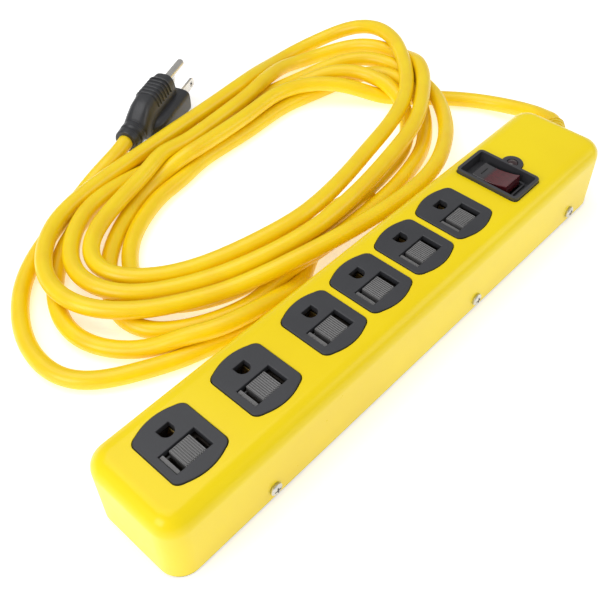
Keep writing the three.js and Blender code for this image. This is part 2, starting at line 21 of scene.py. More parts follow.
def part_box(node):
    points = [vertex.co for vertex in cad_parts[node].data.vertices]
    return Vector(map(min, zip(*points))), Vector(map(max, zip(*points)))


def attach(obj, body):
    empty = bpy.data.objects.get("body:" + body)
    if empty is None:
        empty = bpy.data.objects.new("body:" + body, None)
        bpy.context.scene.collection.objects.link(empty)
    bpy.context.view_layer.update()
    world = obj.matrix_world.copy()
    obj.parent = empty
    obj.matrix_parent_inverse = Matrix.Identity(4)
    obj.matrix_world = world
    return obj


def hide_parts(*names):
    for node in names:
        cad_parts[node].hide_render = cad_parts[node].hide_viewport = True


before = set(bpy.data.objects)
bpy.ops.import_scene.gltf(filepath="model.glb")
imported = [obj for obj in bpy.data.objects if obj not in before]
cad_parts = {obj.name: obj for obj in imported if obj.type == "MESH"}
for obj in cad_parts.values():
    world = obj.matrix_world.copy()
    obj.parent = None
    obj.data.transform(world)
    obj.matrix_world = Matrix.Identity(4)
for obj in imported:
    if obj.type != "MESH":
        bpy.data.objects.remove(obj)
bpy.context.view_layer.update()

log = logging.getLogger("power_strip")

MM = 0.001
EXIT_Y = 8.0
EXIT_Z = 16.0
Point2 = tuple[float, float]
Point3 = tuple[float, float, float]
Colour = tuple[float, float, float]


class Body(str, Enum):
    """The bodies that pieces ride on."""

    ROOT = "root"
    ROCKER = "rocker"
    COVER = "cover_"


class Axis(Enum):
    """The direction that a turned solid's own axis takes."""

    X = "x"
    Y = "y"
    Z = "z"


# ---------------------------------------------------------------- shader maths


class Signal:
    """A number that travels between shader nodes, used with ordinary operators."""

    def __init__(self, graph: "NodeGraph", socket: bpy.types.NodeSocket) -> None:
        """Wraps one output socket.

        Args:
            graph: The graph that the socket belongs to.
            socket: The output socket.
        """
        self.graph = graph
        self.socket = socket

    def _with(self, operation: str, first: Any, second: Any) -> "Signal":
        """Adds one Math node.

        Args:
            operation: The Math node's operation.
            first: The left operand.
            second: The right operand.

        Returns:
            The node's result.
        """
        return self.graph.node("ShaderNodeMath", {"operation": operation}, {0: first, 1: second})

    def __add__(self, other: Any) -> "Signal":
        """Sum."""
        return self._with("ADD", self, other)

    def __radd__(self, other: Any) -> "Signal":
        """Reflected sum."""
        return self._with("ADD", other, self)

    def __sub__(self, other: Any) -> "Signal":
        """Difference."""
        return self._with("SUBTRACT", self, other)

    def __rsub__(self, other: Any) -> "Signal":
        """Reflected difference."""
        return self._with("SUBTRACT", other, self)

    def __mul__(self, other: Any) -> "Signal":
        """Product."""
        return self._with("MULTIPLY", self, other)

    def __rmul__(self, other: Any) -> "Signal":
        """Reflected product."""
        return self._with("MULTIPLY", other, self)


class NodeGraph:
    """A material under construction, and the one way to add a node to it."""

    def __init__(self, name: str) -> None:
        """Starts a material with a principled shader.

        Args:
            name: The material's name.
        """
        self.material = bpy.data.materials.new(name)
        self.material.use_nodes = True
        self.tree = self.material.node_tree
        self.shader = self.tree.nodes["Principled BSDF"]

    def node(
        self, kind: str, settings: dict[str, Any] | None = None, sockets: dict[
            Any, Any
        ] | None = None,
        output: int | str = 0,
    ) -> Signal:
        """Adds a node.

        Args:
            kind: The node's type.
            settings: What is set on the node before its sockets, such as a ramp's stops.
            sockets: Values or signals for its inputs, by name or number.
            output: The output that is wanted.

        Returns:
            That output as a signal.
        """
        made = self.tree.nodes.new(kind)
        for key, value in (settings or {}).items():
            if key == "stops":
                self._set_stops(made.color_ramp, value)
            else:
                setattr(made, key, value)
        for key, value in (sockets or {}).items():
            self.feed(made.inputs[key], value)
        return Signal(self, made.outputs[output])

    def feed(self, socket: bpy.types.NodeSocket, value: Any) -> None:
        """Sets an input socket, or links a signal to it.

        Args:
            socket: The input.
            value: A number, a colour or a signal.
        """
        if isinstance(value, Signal):
            self.tree.links.new(value.socket, socket)
        elif isinstance(value, tuple) and len(value) == 3 and socket.type == "RGBA":
            socket.default_value = (*value, 1.0)
        else:
            socket.default_value = value

    @staticmethod
    def _set_stops(ramp: Any, stops: Sequence[tuple[float, float]]) -> None:
        """Gives a colour ramp its grey stops.

        Args:
            ramp: The node's ramp.
            stops: Pairs of position and brightness.
        """
        while len(ramp.elements) < len(stops):
            ramp.elements.new(1.0)
        for element, (position, value) in zip(ramp.elements, stops):
            element.position = position
            element.color = (value, value, value, 1.0)

    def place(self) -> Signal:
        """The point on the piece, in its own metres."""
        return self.node("ShaderNodeTexCoord", output="Object")

    def noise(self, scale: float, detail: float = 2.0, stretch: Point3 = (1.0, 1.0, 1.0)) -> Signal:
        """Soft noise.

        Args:
            scale: Features for each metre.
            detail: Octaves.
            stretch: How much the pattern is squeezed along each axis.

        Returns:
            A value around one half.
        """
        where = self.node("ShaderNodeMapping", None, {"Vector": self.place(), "Scale": stretch})
        return self.node(
            "ShaderNodeTexNoise", None, {"Vector": where, "Scale": scale, "Detail": detail}
        )

    def between(self, first: Colour, second: Colour, share: Any) -> Signal:
        """Mixes two colours.

        Args:
            first: The colour at share 0.
            second: The colour at share 1.
            share: How much of the second.

        Returns:
            The mixed colour.
        """
        settings = {"data_type": "RGBA", "clamp_factor": True}
        made = {0: share, 6: first, 7: second}
        return self.node("ShaderNodeMix", settings, made, output=2)

    def clamp(self, value: Signal, low: float, high: float) -> Signal:
        """Stretches value so that low becomes 0 and high becomes 1, clamped."""
        return self.node("ShaderNodeMapRange", {"clamp": True}, {0: value, 1: low, 2: high})

    def bump(self, height: Signal, strength: float, distance: float) -> None:
        """Feeds the shader's normal.

        Args:
            height: The height signal.
            strength: The bump's strength.
            distance: The height of a full step, in metres.
        """
        sockets = {"Strength": strength, "Distance": distance, "Height": height}
        self.feed(self.shader.inputs["Normal"], self.node("ShaderNodeBump", None, sockets))

    def shade(self, **values: Any) -> None:
        """Sets the shader's sockets by name, with underscores for spaces."""
        for key, value in values.items():
            self.feed(self.shader.inputs[key.replace("_", " ")], value)


# ---------------------------------------------------------------- finishes


def tint(colour: Colour, factor: float) -> Colour:
    """A colour made lighter or darker."""
    return tuple(min(1.0, part * factor) for part in colour)


@dataclass(frozen=True)
class Enamel:
    """Baked enamel on sheet steel: a glossy colour with a faint orange-peel skin."""

    name: str
    colour: Colour
    roughness: float = 0.3
    peel: float = 420.0

    def make(self) -> bpy.types.Material:
        """Builds the material."""
        graph = NodeGraph(self.name)
        cloud = graph.noise(16.0, 3.0)
        fine = graph.noise(self.peel, 2.0)
        speck = graph.clamp(graph.noise(2600.0, 1.0), 0.66, 0.8)
        colour = graph.between(
            tint(self.colour, 0.95), tint(self.colour, 1.04), graph.clamp(cloud, 0.35, 0.65)
        )
        graph.shade(
            Base_Color=graph.between(colour, tint(self.colour, 0.8), speck * 0.25),
            Roughness=self.roughness + 0.08 * (cloud - 0.5) + 0.06 * (fine - 0.5),
            Specular_IOR_Level=0.3,
            Coat_Weight=0.1,
            Coat_Roughness=0.12,
        )
        graph.bump(fine + 0.3 * graph.noise(90.0), 0.12, 0.0001)
        return graph.material


@dataclass(frozen=True)
class Moulded:
    """Moulded plastic with a spark-eroded grain and a gloss that wanders."""

    name: str
    colour: Colour
    roughness: float = 0.5
    grain: float = 2600.0
    relief: float = 0.25
    mottle: float = 0.12
    coat: float = 0.0

    def make(self) -> bpy.types.Material:
        """Builds the material."""
        graph = NodeGraph(self.name)
        grain = graph.noise(self.grain, 2.0)
        cloud = graph.noise(55.0, 3.0)
        share = graph.clamp(0.6 * cloud + 0.4 * grain, 0.35, 0.65)
        graph.shade(
            Base_Color=graph.between(
                tint(self.colour, 1 - self.mottle), tint(self.colour, 1 + self.mottle), share
            ),
            Roughness=self.roughness + 0.12 * (grain - 0.5) + 0.1 * (cloud - 0.5),
            Coat_Weight=self.coat,
            Coat_Roughness=0.15,
        )
        graph.bump(grain, self.relief, 0.00006)
        return graph.material


@dataclass(frozen=True)
class Jacket:
    """The cord's soft vinyl jacket: satin, faintly rippled by the wires twisted inside."""

    name: str
    colour: Colour
    deep: Colour
    roughness: float = 0.36

    def make(self) -> bpy.types.Material:
        """Builds the material."""
        graph = NodeGraph(self.name)
        ripple = graph.noise(70.0, 2.0)
        skin = graph.noise(900.0, 2.0)
        share = graph.clamp(ripple, 0.38, 0.72)
        graph.shade(
            Base_Color=graph.between(self.colour, self.deep, share * 0.5),
            Roughness=self.roughness + 0.1 * (ripple - 0.5) + 0.08 * (skin - 0.5),
            Coat_Weight=0.12,
            Coat_Roughness=0.2,
            Subsurface_Weight=0.08,
            Subsurface_Radius=(0.004, 0.002, 0.0004),
            Subsurface_Scale=1.0,
        )
        graph.bump(ripple + 0.12 * skin, 0.3, 0.0003)
        return graph.material


@dataclass(frozen=True)
class Metal:
    """Drawn or plated metal with fine draw lines and dull patches."""

    name: str
    colour: Colour
    roughness: float = 0.28
    lines: Point3 = (1.0, 12.0, 12.0)
    tarnish: float = 0.2

    def make(self) -> bpy.types.Material:
        """Builds the material."""
        graph = NodeGraph(self.name)
        draw = graph.noise(900.0, 2.0, self.lines)
        patch = graph.clamp(graph.noise(160.0, 3.0), 0.45, 0.75)
        graph.shade(
            Base_Color=graph.between(self.colour, tint(self.colour, 1 - self.tarnish), patch),
            Metallic=1.0,
            Roughness=self.roughness + 0.16 * (draw - 0.5) + 0.12 * patch,
        )
        graph.bump(draw, 0.12, 0.00003)
        return graph.material


@dataclass(frozen=True)
class SmokedLens:
    """Smoky red acrylic with painted light: a brighter red painted in streaks over one part of it,
    where light passes through, and dark grey towards the other end in Y.
    """

    name: str
    colour: Colour
    dark: Colour
    painted_light: Colour
    turn_y: tuple[float, float]
    roughness: float = 0.18

    def make(self) -> bpy.types.Material:
        """Builds the material."""
        graph = NodeGraph(self.name)
        split = graph.node("ShaderNodeSeparateXYZ", None, {0: graph.place()}, output="Y")
        share = graph.clamp(split, *self.turn_y)
        streak = graph.noise(420.0, 2.0, (6.0, 1.0, 1.0))
        # Painted light: the brighter red, in streaks and fading along Y, stands for light passing
        # through the acrylic.
        base = graph.between(self.painted_light, self.colour, graph.clamp(streak + 0.6 * share, 0.42, 0.9))
        graph.shade(
            Base_Color=graph.between(base, self.dark, share),
            Roughness=self.roughness + 0.1 * (graph.noise(900.0) - 0.5),
            Coat_Weight=0.4,
            Coat_Roughness=0.08,
        )
        graph.bump(graph.noise(300.0), 0.08, 0.00005)
        return graph.material


@dataclass(frozen=True)
class CircuitBoard:
    """A coated board with a maze of copper under green lacquer."""

    name: str
    colour: Colour
    trace: Colour

    def make(self) -> bpy.types.Material:
        """Builds the material."""
        graph = NodeGraph(self.name)
        cells = graph.node(
            "ShaderNodeTexVoronoi", {"feature": "F1"}, {"Vector": graph.place(), "Scale": 260.0}
        )
        track = graph.clamp(cells, 0.4, 0.46)
        graph.shade(
            Base_Color=graph.between(self.colour, self.trace, track), Roughness=0.3 + 0.15 * track
        )
        graph.bump(track, 0.3, 0.00005)
        return graph.material


YELLOW: Colour = (1.0, 0.74, 0.002)
CHARCOAL: Colour = (0.036, 0.037, 0.042)
BRASS: Colour = (0.60, 0.42, 0.14)
NICKEL: Colour = (0.72, 0.70, 0.66)


class Finishes:
    """Every finish of the strip, made once."""

    def __init__(self) -> None:
        """Builds the materials."""
        self.shell = Enamel("shell_enamel", YELLOW).make()
        self.jacket = Jacket("cord_jacket_vinyl", (1.0, 0.72, 0.002), (0.93, 0.58, 0.002)).make()
        self.relief = Moulded("relief_vinyl", (0.96, 0.66, 0.004), 0.42, 1200.0).make()
        self.face = Moulded("face_nylon", CHARCOAL, 0.46).make()
        self.cover = Moulded("cover_nylon", (0.19, 0.187, 0.187), 0.42, 1800.0).make()
        self.carrier = Moulded("carrier_phenolic", (0.035, 0.026, 0.02), 0.6).make()
        self.switch = Moulded("switch_nylon", (0.030, 0.030, 0.033), 0.5).make()
        self.bezel = Moulded("bezel_nylon", (0.045, 0.045, 0.05), 0.42).make()
        # The third colour of each smoked acrylic is painted light: a brighter red for light passing
        # through it.
        self.rocker = SmokedLens(
            "rocker_acrylic", (0.035, 0.007, 0.010), (0.040, 0.038, 0.042), (
                0.105, 0.011, 0.016
            ), (0.0035, 0.0060)
        ).make()
        self.lens = SmokedLens(
            "lens_acrylic", (0.020, 0.009, 0.010), (0.012, 0.010, 0.011), (
                0.030, 0.010, 0.011
            ), (0.002, 0.004)
        ).make()
        self.mark = Moulded("mark_ink", (0.012, 0.012, 0.012), 0.5, relief=0.1).make()
        self.brass = Metal("contact_brass_strip", BRASS, 0.3).make()
        self.nickel = Metal("blade_nickel_plate", NICKEL, 0.24).make()
        self.screw = Metal("screw_zinc", (0.66, 0.65, 0.62), 0.26, (4.0, 4.0, 4.0)).make()
        self.base = Enamel("base_black_enamel", (0.018, 0.018, 0.02), 0.45, 900.0).make()
        self.plug = Moulded(
            "plug_vinyl", (0.026, 0.027, 0.031), 0.38, 1500.0, mottle=0.2, coat=0.1
        ).make()
        self.glass = Moulded("lamp_glass", (0.75, 0.55, 0.35), 0.1, relief=0.02, coat=0.6).make()
        self.board = CircuitBoard("board_lacquer", (0.01, 0.16, 0.05), (0.04, 0.28, 0.10)).make()
        self.varistor = Moulded("varistor_epoxy", (0.02, 0.09, 0.35), 0.35).make()
        self.fuse = Moulded("fuse_sleeve", (0.80, 0.78, 0.72), 0.5).make()
        self.wire_black = Moulded("wire_black_vinyl", (0.02, 0.02, 0.022), 0.42).make()
        self.wire_white = Moulded("wire_white_vinyl", (0.80, 0.79, 0.75), 0.42).make()
        self.wire_green = Moulded("wire_green_vinyl", (0.02, 0.30, 0.08), 0.42).make()

    def dress_carried_over(self) -> None:
        """Gives every CAD node that stays its finish."""
        wear = {
            "base_plate": self.base, "outlet_carrier": self.carrier, "line_bus_bar": self.brass,
            "neutral_bus_bar": self.brass, "ground_bus_bar": self.brass,
            "rocker_pivot_pin": self.nickel,
            "switch_body": self.switch, "switch_line_terminal": self.brass,
            "switch_load_terminal": self.brass, "switch_contact_arm": self.brass,
            "indicator_lamp": self.glass, "surge_board": self.board, "thermal_fuse": self.fuse,
            "line_wire": self.wire_black, "switched_wire": self.wire_black,
            "neutral_wire": self.wire_white, "ground_wire": self.wire_green,
            "ground_bond_screw": self.screw,
        }
        wear.update({f"varistor_{i}": self.varistor for i in (1, 2, 3)})
        for name, material in wear.items():
            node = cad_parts[name]
            for place in node.material_slots:
                place.material = material
            log.info("dressed CAD node %s in %s", name, material.name)


# ---------------------------------------------------------------- shapes


def arc(centre: Point2, radius: float, start: float, end: float, steps: int) -> list[Point2]:
    """Points on an arc.

    Args:
        centre: The arc's centre.
        radius: Its radius.
        start: The first angle in degrees.
        end: The last angle in degrees.
        steps: How many chords.

    Returns:
        steps + 1 points.
    """
    angles = [math.radians(start + (end - start) * i / steps) for i in range(steps + 1)]
    return [(centre[0] + radius * math.cos(a), centre[1] + radius * math.sin(a)) for a in angles]


def rounded_rectangle(
    half_x: float, half_y: float, radius: float, centre: Point2 = (0.0, 0.0), steps: int = 10
) -> list[Point2]:
    """A rectangle's outline with round corners, anticlockwise.

    Args:
        half_x: Half its length along X.
        half_y: Half its length along Y.
        radius: The corners' radius.
        centre: Its centre.
        steps: Chords in each corner.

    Returns:
        The outline.
    """
    outline: list[Point2] = []
    for sx, sy, start in ((1, -1, -90), (1, 1, 0), (-1, 1, 90), (-1, -1, 180)):
        corner = (centre[0] + sx * (half_x - radius), centre[1] + sy * (half_y - radius))
        outline += arc(corner, radius, start, start + 90, steps)
    return outline


def bow(start: Point2, pull: Point2, end: Point2, steps: int) -> list[Point2]:
    """Points on a quadratic curve after its start.

    Args:
        start: Where it starts.
        pull: Its control point.
        end: Where it ends.
        steps: How many chords.

    Returns:
        steps points, the last one being end.
    """
    points = []
    for i in range(1, steps + 1):
        t = i / steps
        weights = ((1 - t) ** 2, 2 * t * (1 - t), t * t)
        points.append(
            tuple(sum(w * p[k] for w, p in zip(weights, (start, pull, end))) for k in (0, 1))
        )
    return points


def centre_of(node: str) -> Vector:
    """The middle of a CAD node's box, in millimetres."""
    low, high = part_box(node)
    return (Vector(low) + Vector(high)) / 2 / MM


class Solid:
    """A closed solid under construction, in millimetres."""

    def __init__(self, name: str, mesh: bpy.types.Mesh) -> None:
        """Takes a mesh.

        Args:
            name: The piece's name.
            mesh: Its mesh.
        """
        self.object = bpy.data.objects.new(name, mesh)
        bpy.context.scene.collection.objects.link(self.object)

    @classmethod
    def from_bmesh(cls, name: str, shape: bmesh.types.BMesh) -> "Solid":
        """Closes a bmesh and makes its faces point outwards."""
        bmesh.ops.remove_doubles(shape, verts=shape.verts, dist=1e-5)
        bmesh.ops.recalc_face_normals(shape, faces=shape.faces)
        mesh = bpy.data.meshes.new(name)
        shape.to_mesh(mesh)
        shape.free()
        return cls(name, mesh)

    @classmethod
    def loft(cls, name: str, rings: Sequence[Sequence[Point3]]) -> "Solid":
        """Skins a row of closed rings that have as many points each, and closes both ends.

        Args:
            name: The piece's name.
            rings: The rings in order.

        Returns:
            The solid.
        """
        shape = bmesh.new()
        rows = [[shape.verts.new(point) for point in ring] for ring in rings]
        count = len(rows[0])
        for lower, upper in zip(rows, rows[1:]):
            for i in range(count):
                j = (i + 1) % count
                shape.faces.new((lower[i], lower[j], upper[j], upper[i]))
        shape.faces.new(list(reversed(rows[0])))
        shape.faces.new(rows[-1])
        return cls.from_bmesh(name, shape)

    @classmethod
    def prism(cls, name: str, outline: Sequence[Point2], bottom: float, top: float) -> "Solid":
        """An outline pulled up between two heights."""
        return cls.loft(name, [[(x, y, z) for x, y in outline] for z in (bottom, top)])

    @classmethod
    def block(cls, name: str, low: Point3, high: Point3) -> "Solid":
        """A box between two corners."""
        outline = [(low[0], low[1]), (high[0], low[1]), (high[0], high[1]), (low[0], high[1])]
        return cls.prism(name, outline, low[2], high[2])

    @classmethod
    def turned(
        cls, name: str, profile: Sequence[Point2], at: Point3, axis: Axis, sides: int = 40
    ) -> "Solid":
        """A solid of revolution.

        Args:
            name: The piece's name.
            profile: Pairs of distance along the axis and radius, radius never 0.
            at: Where the axis starts.
            axis: The axis.
            sides: How many sides.

        Returns:
            The solid.
        """
        rings = []
        for along, radius in profile:
            ring = []
            for i in range(sides):
                a = 2 * math.pi * i / sides
                c, s = radius * math.cos(a), radius * math.sin(a)
                local = {Axis.X: (along, c, s), Axis.Y: (s, along, c), Axis.Z: (c, s, along)}[axis]
                ring.append(tuple(at[k] + local[k] for k in range(3)))
            rings.append(ring)
        return cls.loft(name, rings)

    def moved(self, matrix: Matrix) -> "Solid":
        """Moves the solid by a matrix."""
        self.object.data.transform(matrix)
        return self

    def _bake(self) -> None:
        """Turns the modifiers' result into the mesh."""
        scene_graph = bpy.context.evaluated_depsgraph_get()
        mesh = bpy.data.meshes.new_from_object(self.object.evaluated_get(scene_graph))
        self.object.modifiers.clear()
        old, self.object.data = self.object.data, mesh
        bpy.data.meshes.remove(old)

    def discard(self) -> None:
        """Removes the solid."""
        mesh = self.object.data
        bpy.data.objects.remove(self.object)
        bpy.data.meshes.remove(mesh)

    def _boolean(self, operation: str, others: Sequence["Solid"]) -> "Solid":
        """Cuts or adds other solids, which are used up."""
        for other in others:
            modifier = self.object.modifiers.new(operation, "BOOLEAN")
            modifier.operation = operation
            modifier.solver = "EXACT"
            modifier.object = other.object
        self._bake()
        for other in others:
            other.discard()
        return self

    def cut(self, *others: "Solid") -> "Solid":
        """Takes other solids away from this one."""
        return self._boolean("DIFFERENCE", others)

    def add(self, *others: "Solid") -> "Solid":
        """Joins other solids to this one."""
        return self._boolean("UNION", others)

    def beside(self, *others: "Solid") -> "Solid":
        """Puts other solids in the same mesh without joining their surfaces."""
        shape = bmesh.new()
        shape.from_mesh(self.object.data)
        for other in others:
            shape.from_mesh(other.object.data)
            other.discard()
        shape.to_mesh(self.object.data)
        shape.free()
        return self

    def soften(self, width: float, segments: int = 3, angle: float = 40.0) -> "Solid":
        """Rounds the sharp edges.

        Args:
            width: The rounding in millimetres.
            segments: Chords across it.
            angle: The sharpest angle in degrees that stays.

        Returns:
            This solid.
        """
        bevel = self.object.modifiers.new("round", "BEVEL")
        bevel.limit_method = "ANGLE"
        bevel.angle_limit = math.radians(angle)
        bevel.width = width
        bevel.segments = segments
        bevel.use_clamp_overlap = True
        self._bake()
        return self

    def smooth(self, angle: float = 35.0) -> "Solid":
        """Shades round surfaces smoothly and flat ones flat.

        Args:
            angle: The angle in degrees from which an edge stays sharp.

        Returns:
            This solid.
        """
        mesh = self.object.data
        mesh.shade_smooth()
        mesh.set_sharp_from_angle(angle=math.radians(angle))
        weigh = self.object.modifiers.new("weigh", "WEIGHTED_NORMAL")
        weigh.keep_sharp = True
        weigh.weight = 100
        self._bake()
        return self

    def finish(
        self, material: bpy.types.Material, body: str, slot: str,
        nodes: Sequence[str] = (), scale: float = MM,
    ) -> bpy.types.Object:
        """Args:
            material: Its finish.
            body: The body that it rides on.
            slot: The material slot's name. Not used.
            nodes: The CAD nodes that it stands for.
            scale: From the solid's units to metres.

        Returns:
            The finished piece.
        """
        piece = self.object
        piece.data.transform(Matrix.Scale(scale, 4))
        piece.data.materials.clear()
        piece.data.materials.append(material)
        declare(piece, body, nodes)
        return piece


def declare(piece: bpy.types.Object, body: str, nodes: Sequence[str] = ()) -> None:
    """Says what a piece rides on and stands for, and reports it.

    Args:
        piece: The finished piece.
        body: The body that it rides on.
        nodes: The CAD nodes that it stands for.
    """
    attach(piece, body)
    if nodes:
        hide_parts(*nodes)
    log.info("piece %s on %s for %s", piece.name, body, ", ".join(nodes) or "nothing")


class Repeater:
    """Geometry Nodes trees that repeat a part along a line or at given stations."""

    def __init__(self) -> None:
        """Builds both trees."""
        self.line_tree = self._line()
        self.station_tree = self._stations()

    @staticmethod
    def _tree(name: str, inputs: Sequence[tuple[str, str]]) -> bpy.types.GeometryNodeTree:
        """Starts a tree.

        Args:
            name: The tree's name.
            inputs: Pairs of a named input and its kind.

        Returns:
            The tree with its two group nodes.
        """
        tree = bpy.data.node_groups.new(name, "GeometryNodeTree")
        tree.interface.new_socket("Geometry", in_out="INPUT", socket_type="NodeSocketGeometry")
        for label, kind in inputs:
            tree.interface.new_socket(label, in_out="INPUT", socket_type=f"NodeSocket{kind}")
        tree.interface.new_socket("Geometry", in_out="OUTPUT", socket_type="NodeSocketGeometry")
        tree.nodes.new("NodeGroupInput")
        tree.nodes.new("NodeGroupOutput")
        return tree

    @staticmethod
    def _ending(tree: bpy.types.GeometryNodeTree, instances: Any, material: Any) -> None:
        """Realizes the instances, sets their material and sends them out."""
        real = tree.nodes.new("GeometryNodeRealizeInstances")
        paint = tree.nodes.new("GeometryNodeSetMaterial")
        out = next(node for node in tree.nodes if node.bl_idname == "NodeGroupOutput")
        tree.links.new(instances, real.inputs[0])
        tree.links.new(real.outputs[0], paint.inputs["Geometry"])
        tree.links.new(material, paint.inputs["Material"])
        tree.links.new(paint.outputs[0], out.inputs[0])

    def _line(self) -> bpy.types.GeometryNodeTree:
        """A part repeated at equal steps: the part is the object's own mesh."""
        tree = self._tree(
            "repeat_on_line",
            (("Count", "Int"), ("First", "Vector"), ("Step", "Vector"), ("Material", "Material"))
        )
        given = next(node for node in tree.nodes if node.bl_idname == "NodeGroupInput")
        line = tree.nodes.new("GeometryNodeMeshLine")
        line.mode = "OFFSET"
        put = tree.nodes.new("GeometryNodeInstanceOnPoints")
        tree.links.new(given.outputs["Count"], line.inputs["Count"])
        tree.links.new(given.outputs["First"], line.inputs["Start Location"])
        tree.links.new(given.outputs["Step"], line.inputs["Offset"])
        tree.links.new(line.outputs[0], put.inputs["Points"])
        tree.links.new(given.outputs["Geometry"], put.inputs["Instance"])
        self._ending(tree, put.outputs[0], given.outputs["Material"])
        return tree

    def _stations(self) -> bpy.types.GeometryNodeTree:
        """A part put at each vertex, turned about Z by the vertex's own angle."""
        tree = self._tree(
            "repeat_at_stations", (("Part", "Object"), ("Size", "Float"), ("Material", "Material"))
        )
        given = next(node for node in tree.nodes if node.bl_idname == "NodeGroupInput")
        part = tree.nodes.new("GeometryNodeObjectInfo")
        turn = tree.nodes.new("GeometryNodeInputNamedAttribute")
        turn.data_type = "FLOAT"
        turn.inputs["Name"].default_value = "turn"
        spin = tree.nodes.new("ShaderNodeCombineXYZ")
        put = tree.nodes.new("GeometryNodeInstanceOnPoints")
        tree.links.new(given.outputs["Part"], part.inputs["Object"])
        tree.links.new(turn.outputs["Attribute"], spin.inputs["Z"])
        tree.links.new(given.outputs["Geometry"], put.inputs["Points"])
        tree.links.new(part.outputs["Geometry"], put.inputs["Instance"])
        tree.links.new(spin.outputs[0], put.inputs["Rotation"])
        tree.links.new(given.outputs["Size"], put.inputs["Scale"])
        self._ending(tree, put.outputs[0], given.outputs["Material"])
        return tree

    @staticmethod
    def _run(solid: Solid, tree: bpy.types.GeometryNodeTree, values: dict[str, Any]) -> Solid:
        """Runs a tree on a solid with its named inputs.

        Args:
            solid: The object that carries the modifier.
            tree: The tree.
            values: The named inputs' values.

        Returns:
            The solid, now a plain mesh.
        """
        modifier = solid.object.modifiers.new("repeat", "NODES")
        modifier.node_group = tree
        for item in tree.interface.items_tree:
            if item.item_type == "SOCKET" and item.in_out == "INPUT" and item.name in values:
                modifier[item.identifier] = values[item.name]
        solid.object.update_tag()
        solid._bake()
        return solid

    def on_line(
        self, part: Solid, count: int, first: Point3, step: Point3, material: bpy.types.Material
    ) -> Solid:
        """Repeats a part along a line.

        Args:
            part: The part, shaped at the origin.
            count: How many.
            first: Where the first stands.
            step: From one to the next.
            material: Their finish.

        Returns:
            All of them as one solid.
        """
        values = {"Count": count, "First": first, "Step": step, "Material": material}
        return self._run(part, self.line_tree, values)

    def at_stations(
        self, name: str, part: Solid, points: Sequence[Point3], turns: Sequence[float],
        material: bpy.types.Material,
    ) -> Solid:
        """Repeats a part at given points.

        Args:
            name: The result's name.
            part: The part, shaped at the origin, which is used up.
            points: Where each stands.
            turns: Each one's turn about Z, in radians.
            material: Their finish.

        Returns:
            All of them as one solid.
        """
        mesh = bpy.data.meshes.new(name)
        mesh.from_pydata(list(points), [], [])
        attribute = mesh.attributes.new("turn", "FLOAT", "POINT")
        attribute.data.foreach_set("value", list(turns))
        stations = Solid(name, mesh)
        self._run(
            stations, self.station_tree, {"Part": part.object, "Size": 1.0, "Material": material}
        )
        part.discard()
        return stations


# ---------------------------------------------------------------- the shell


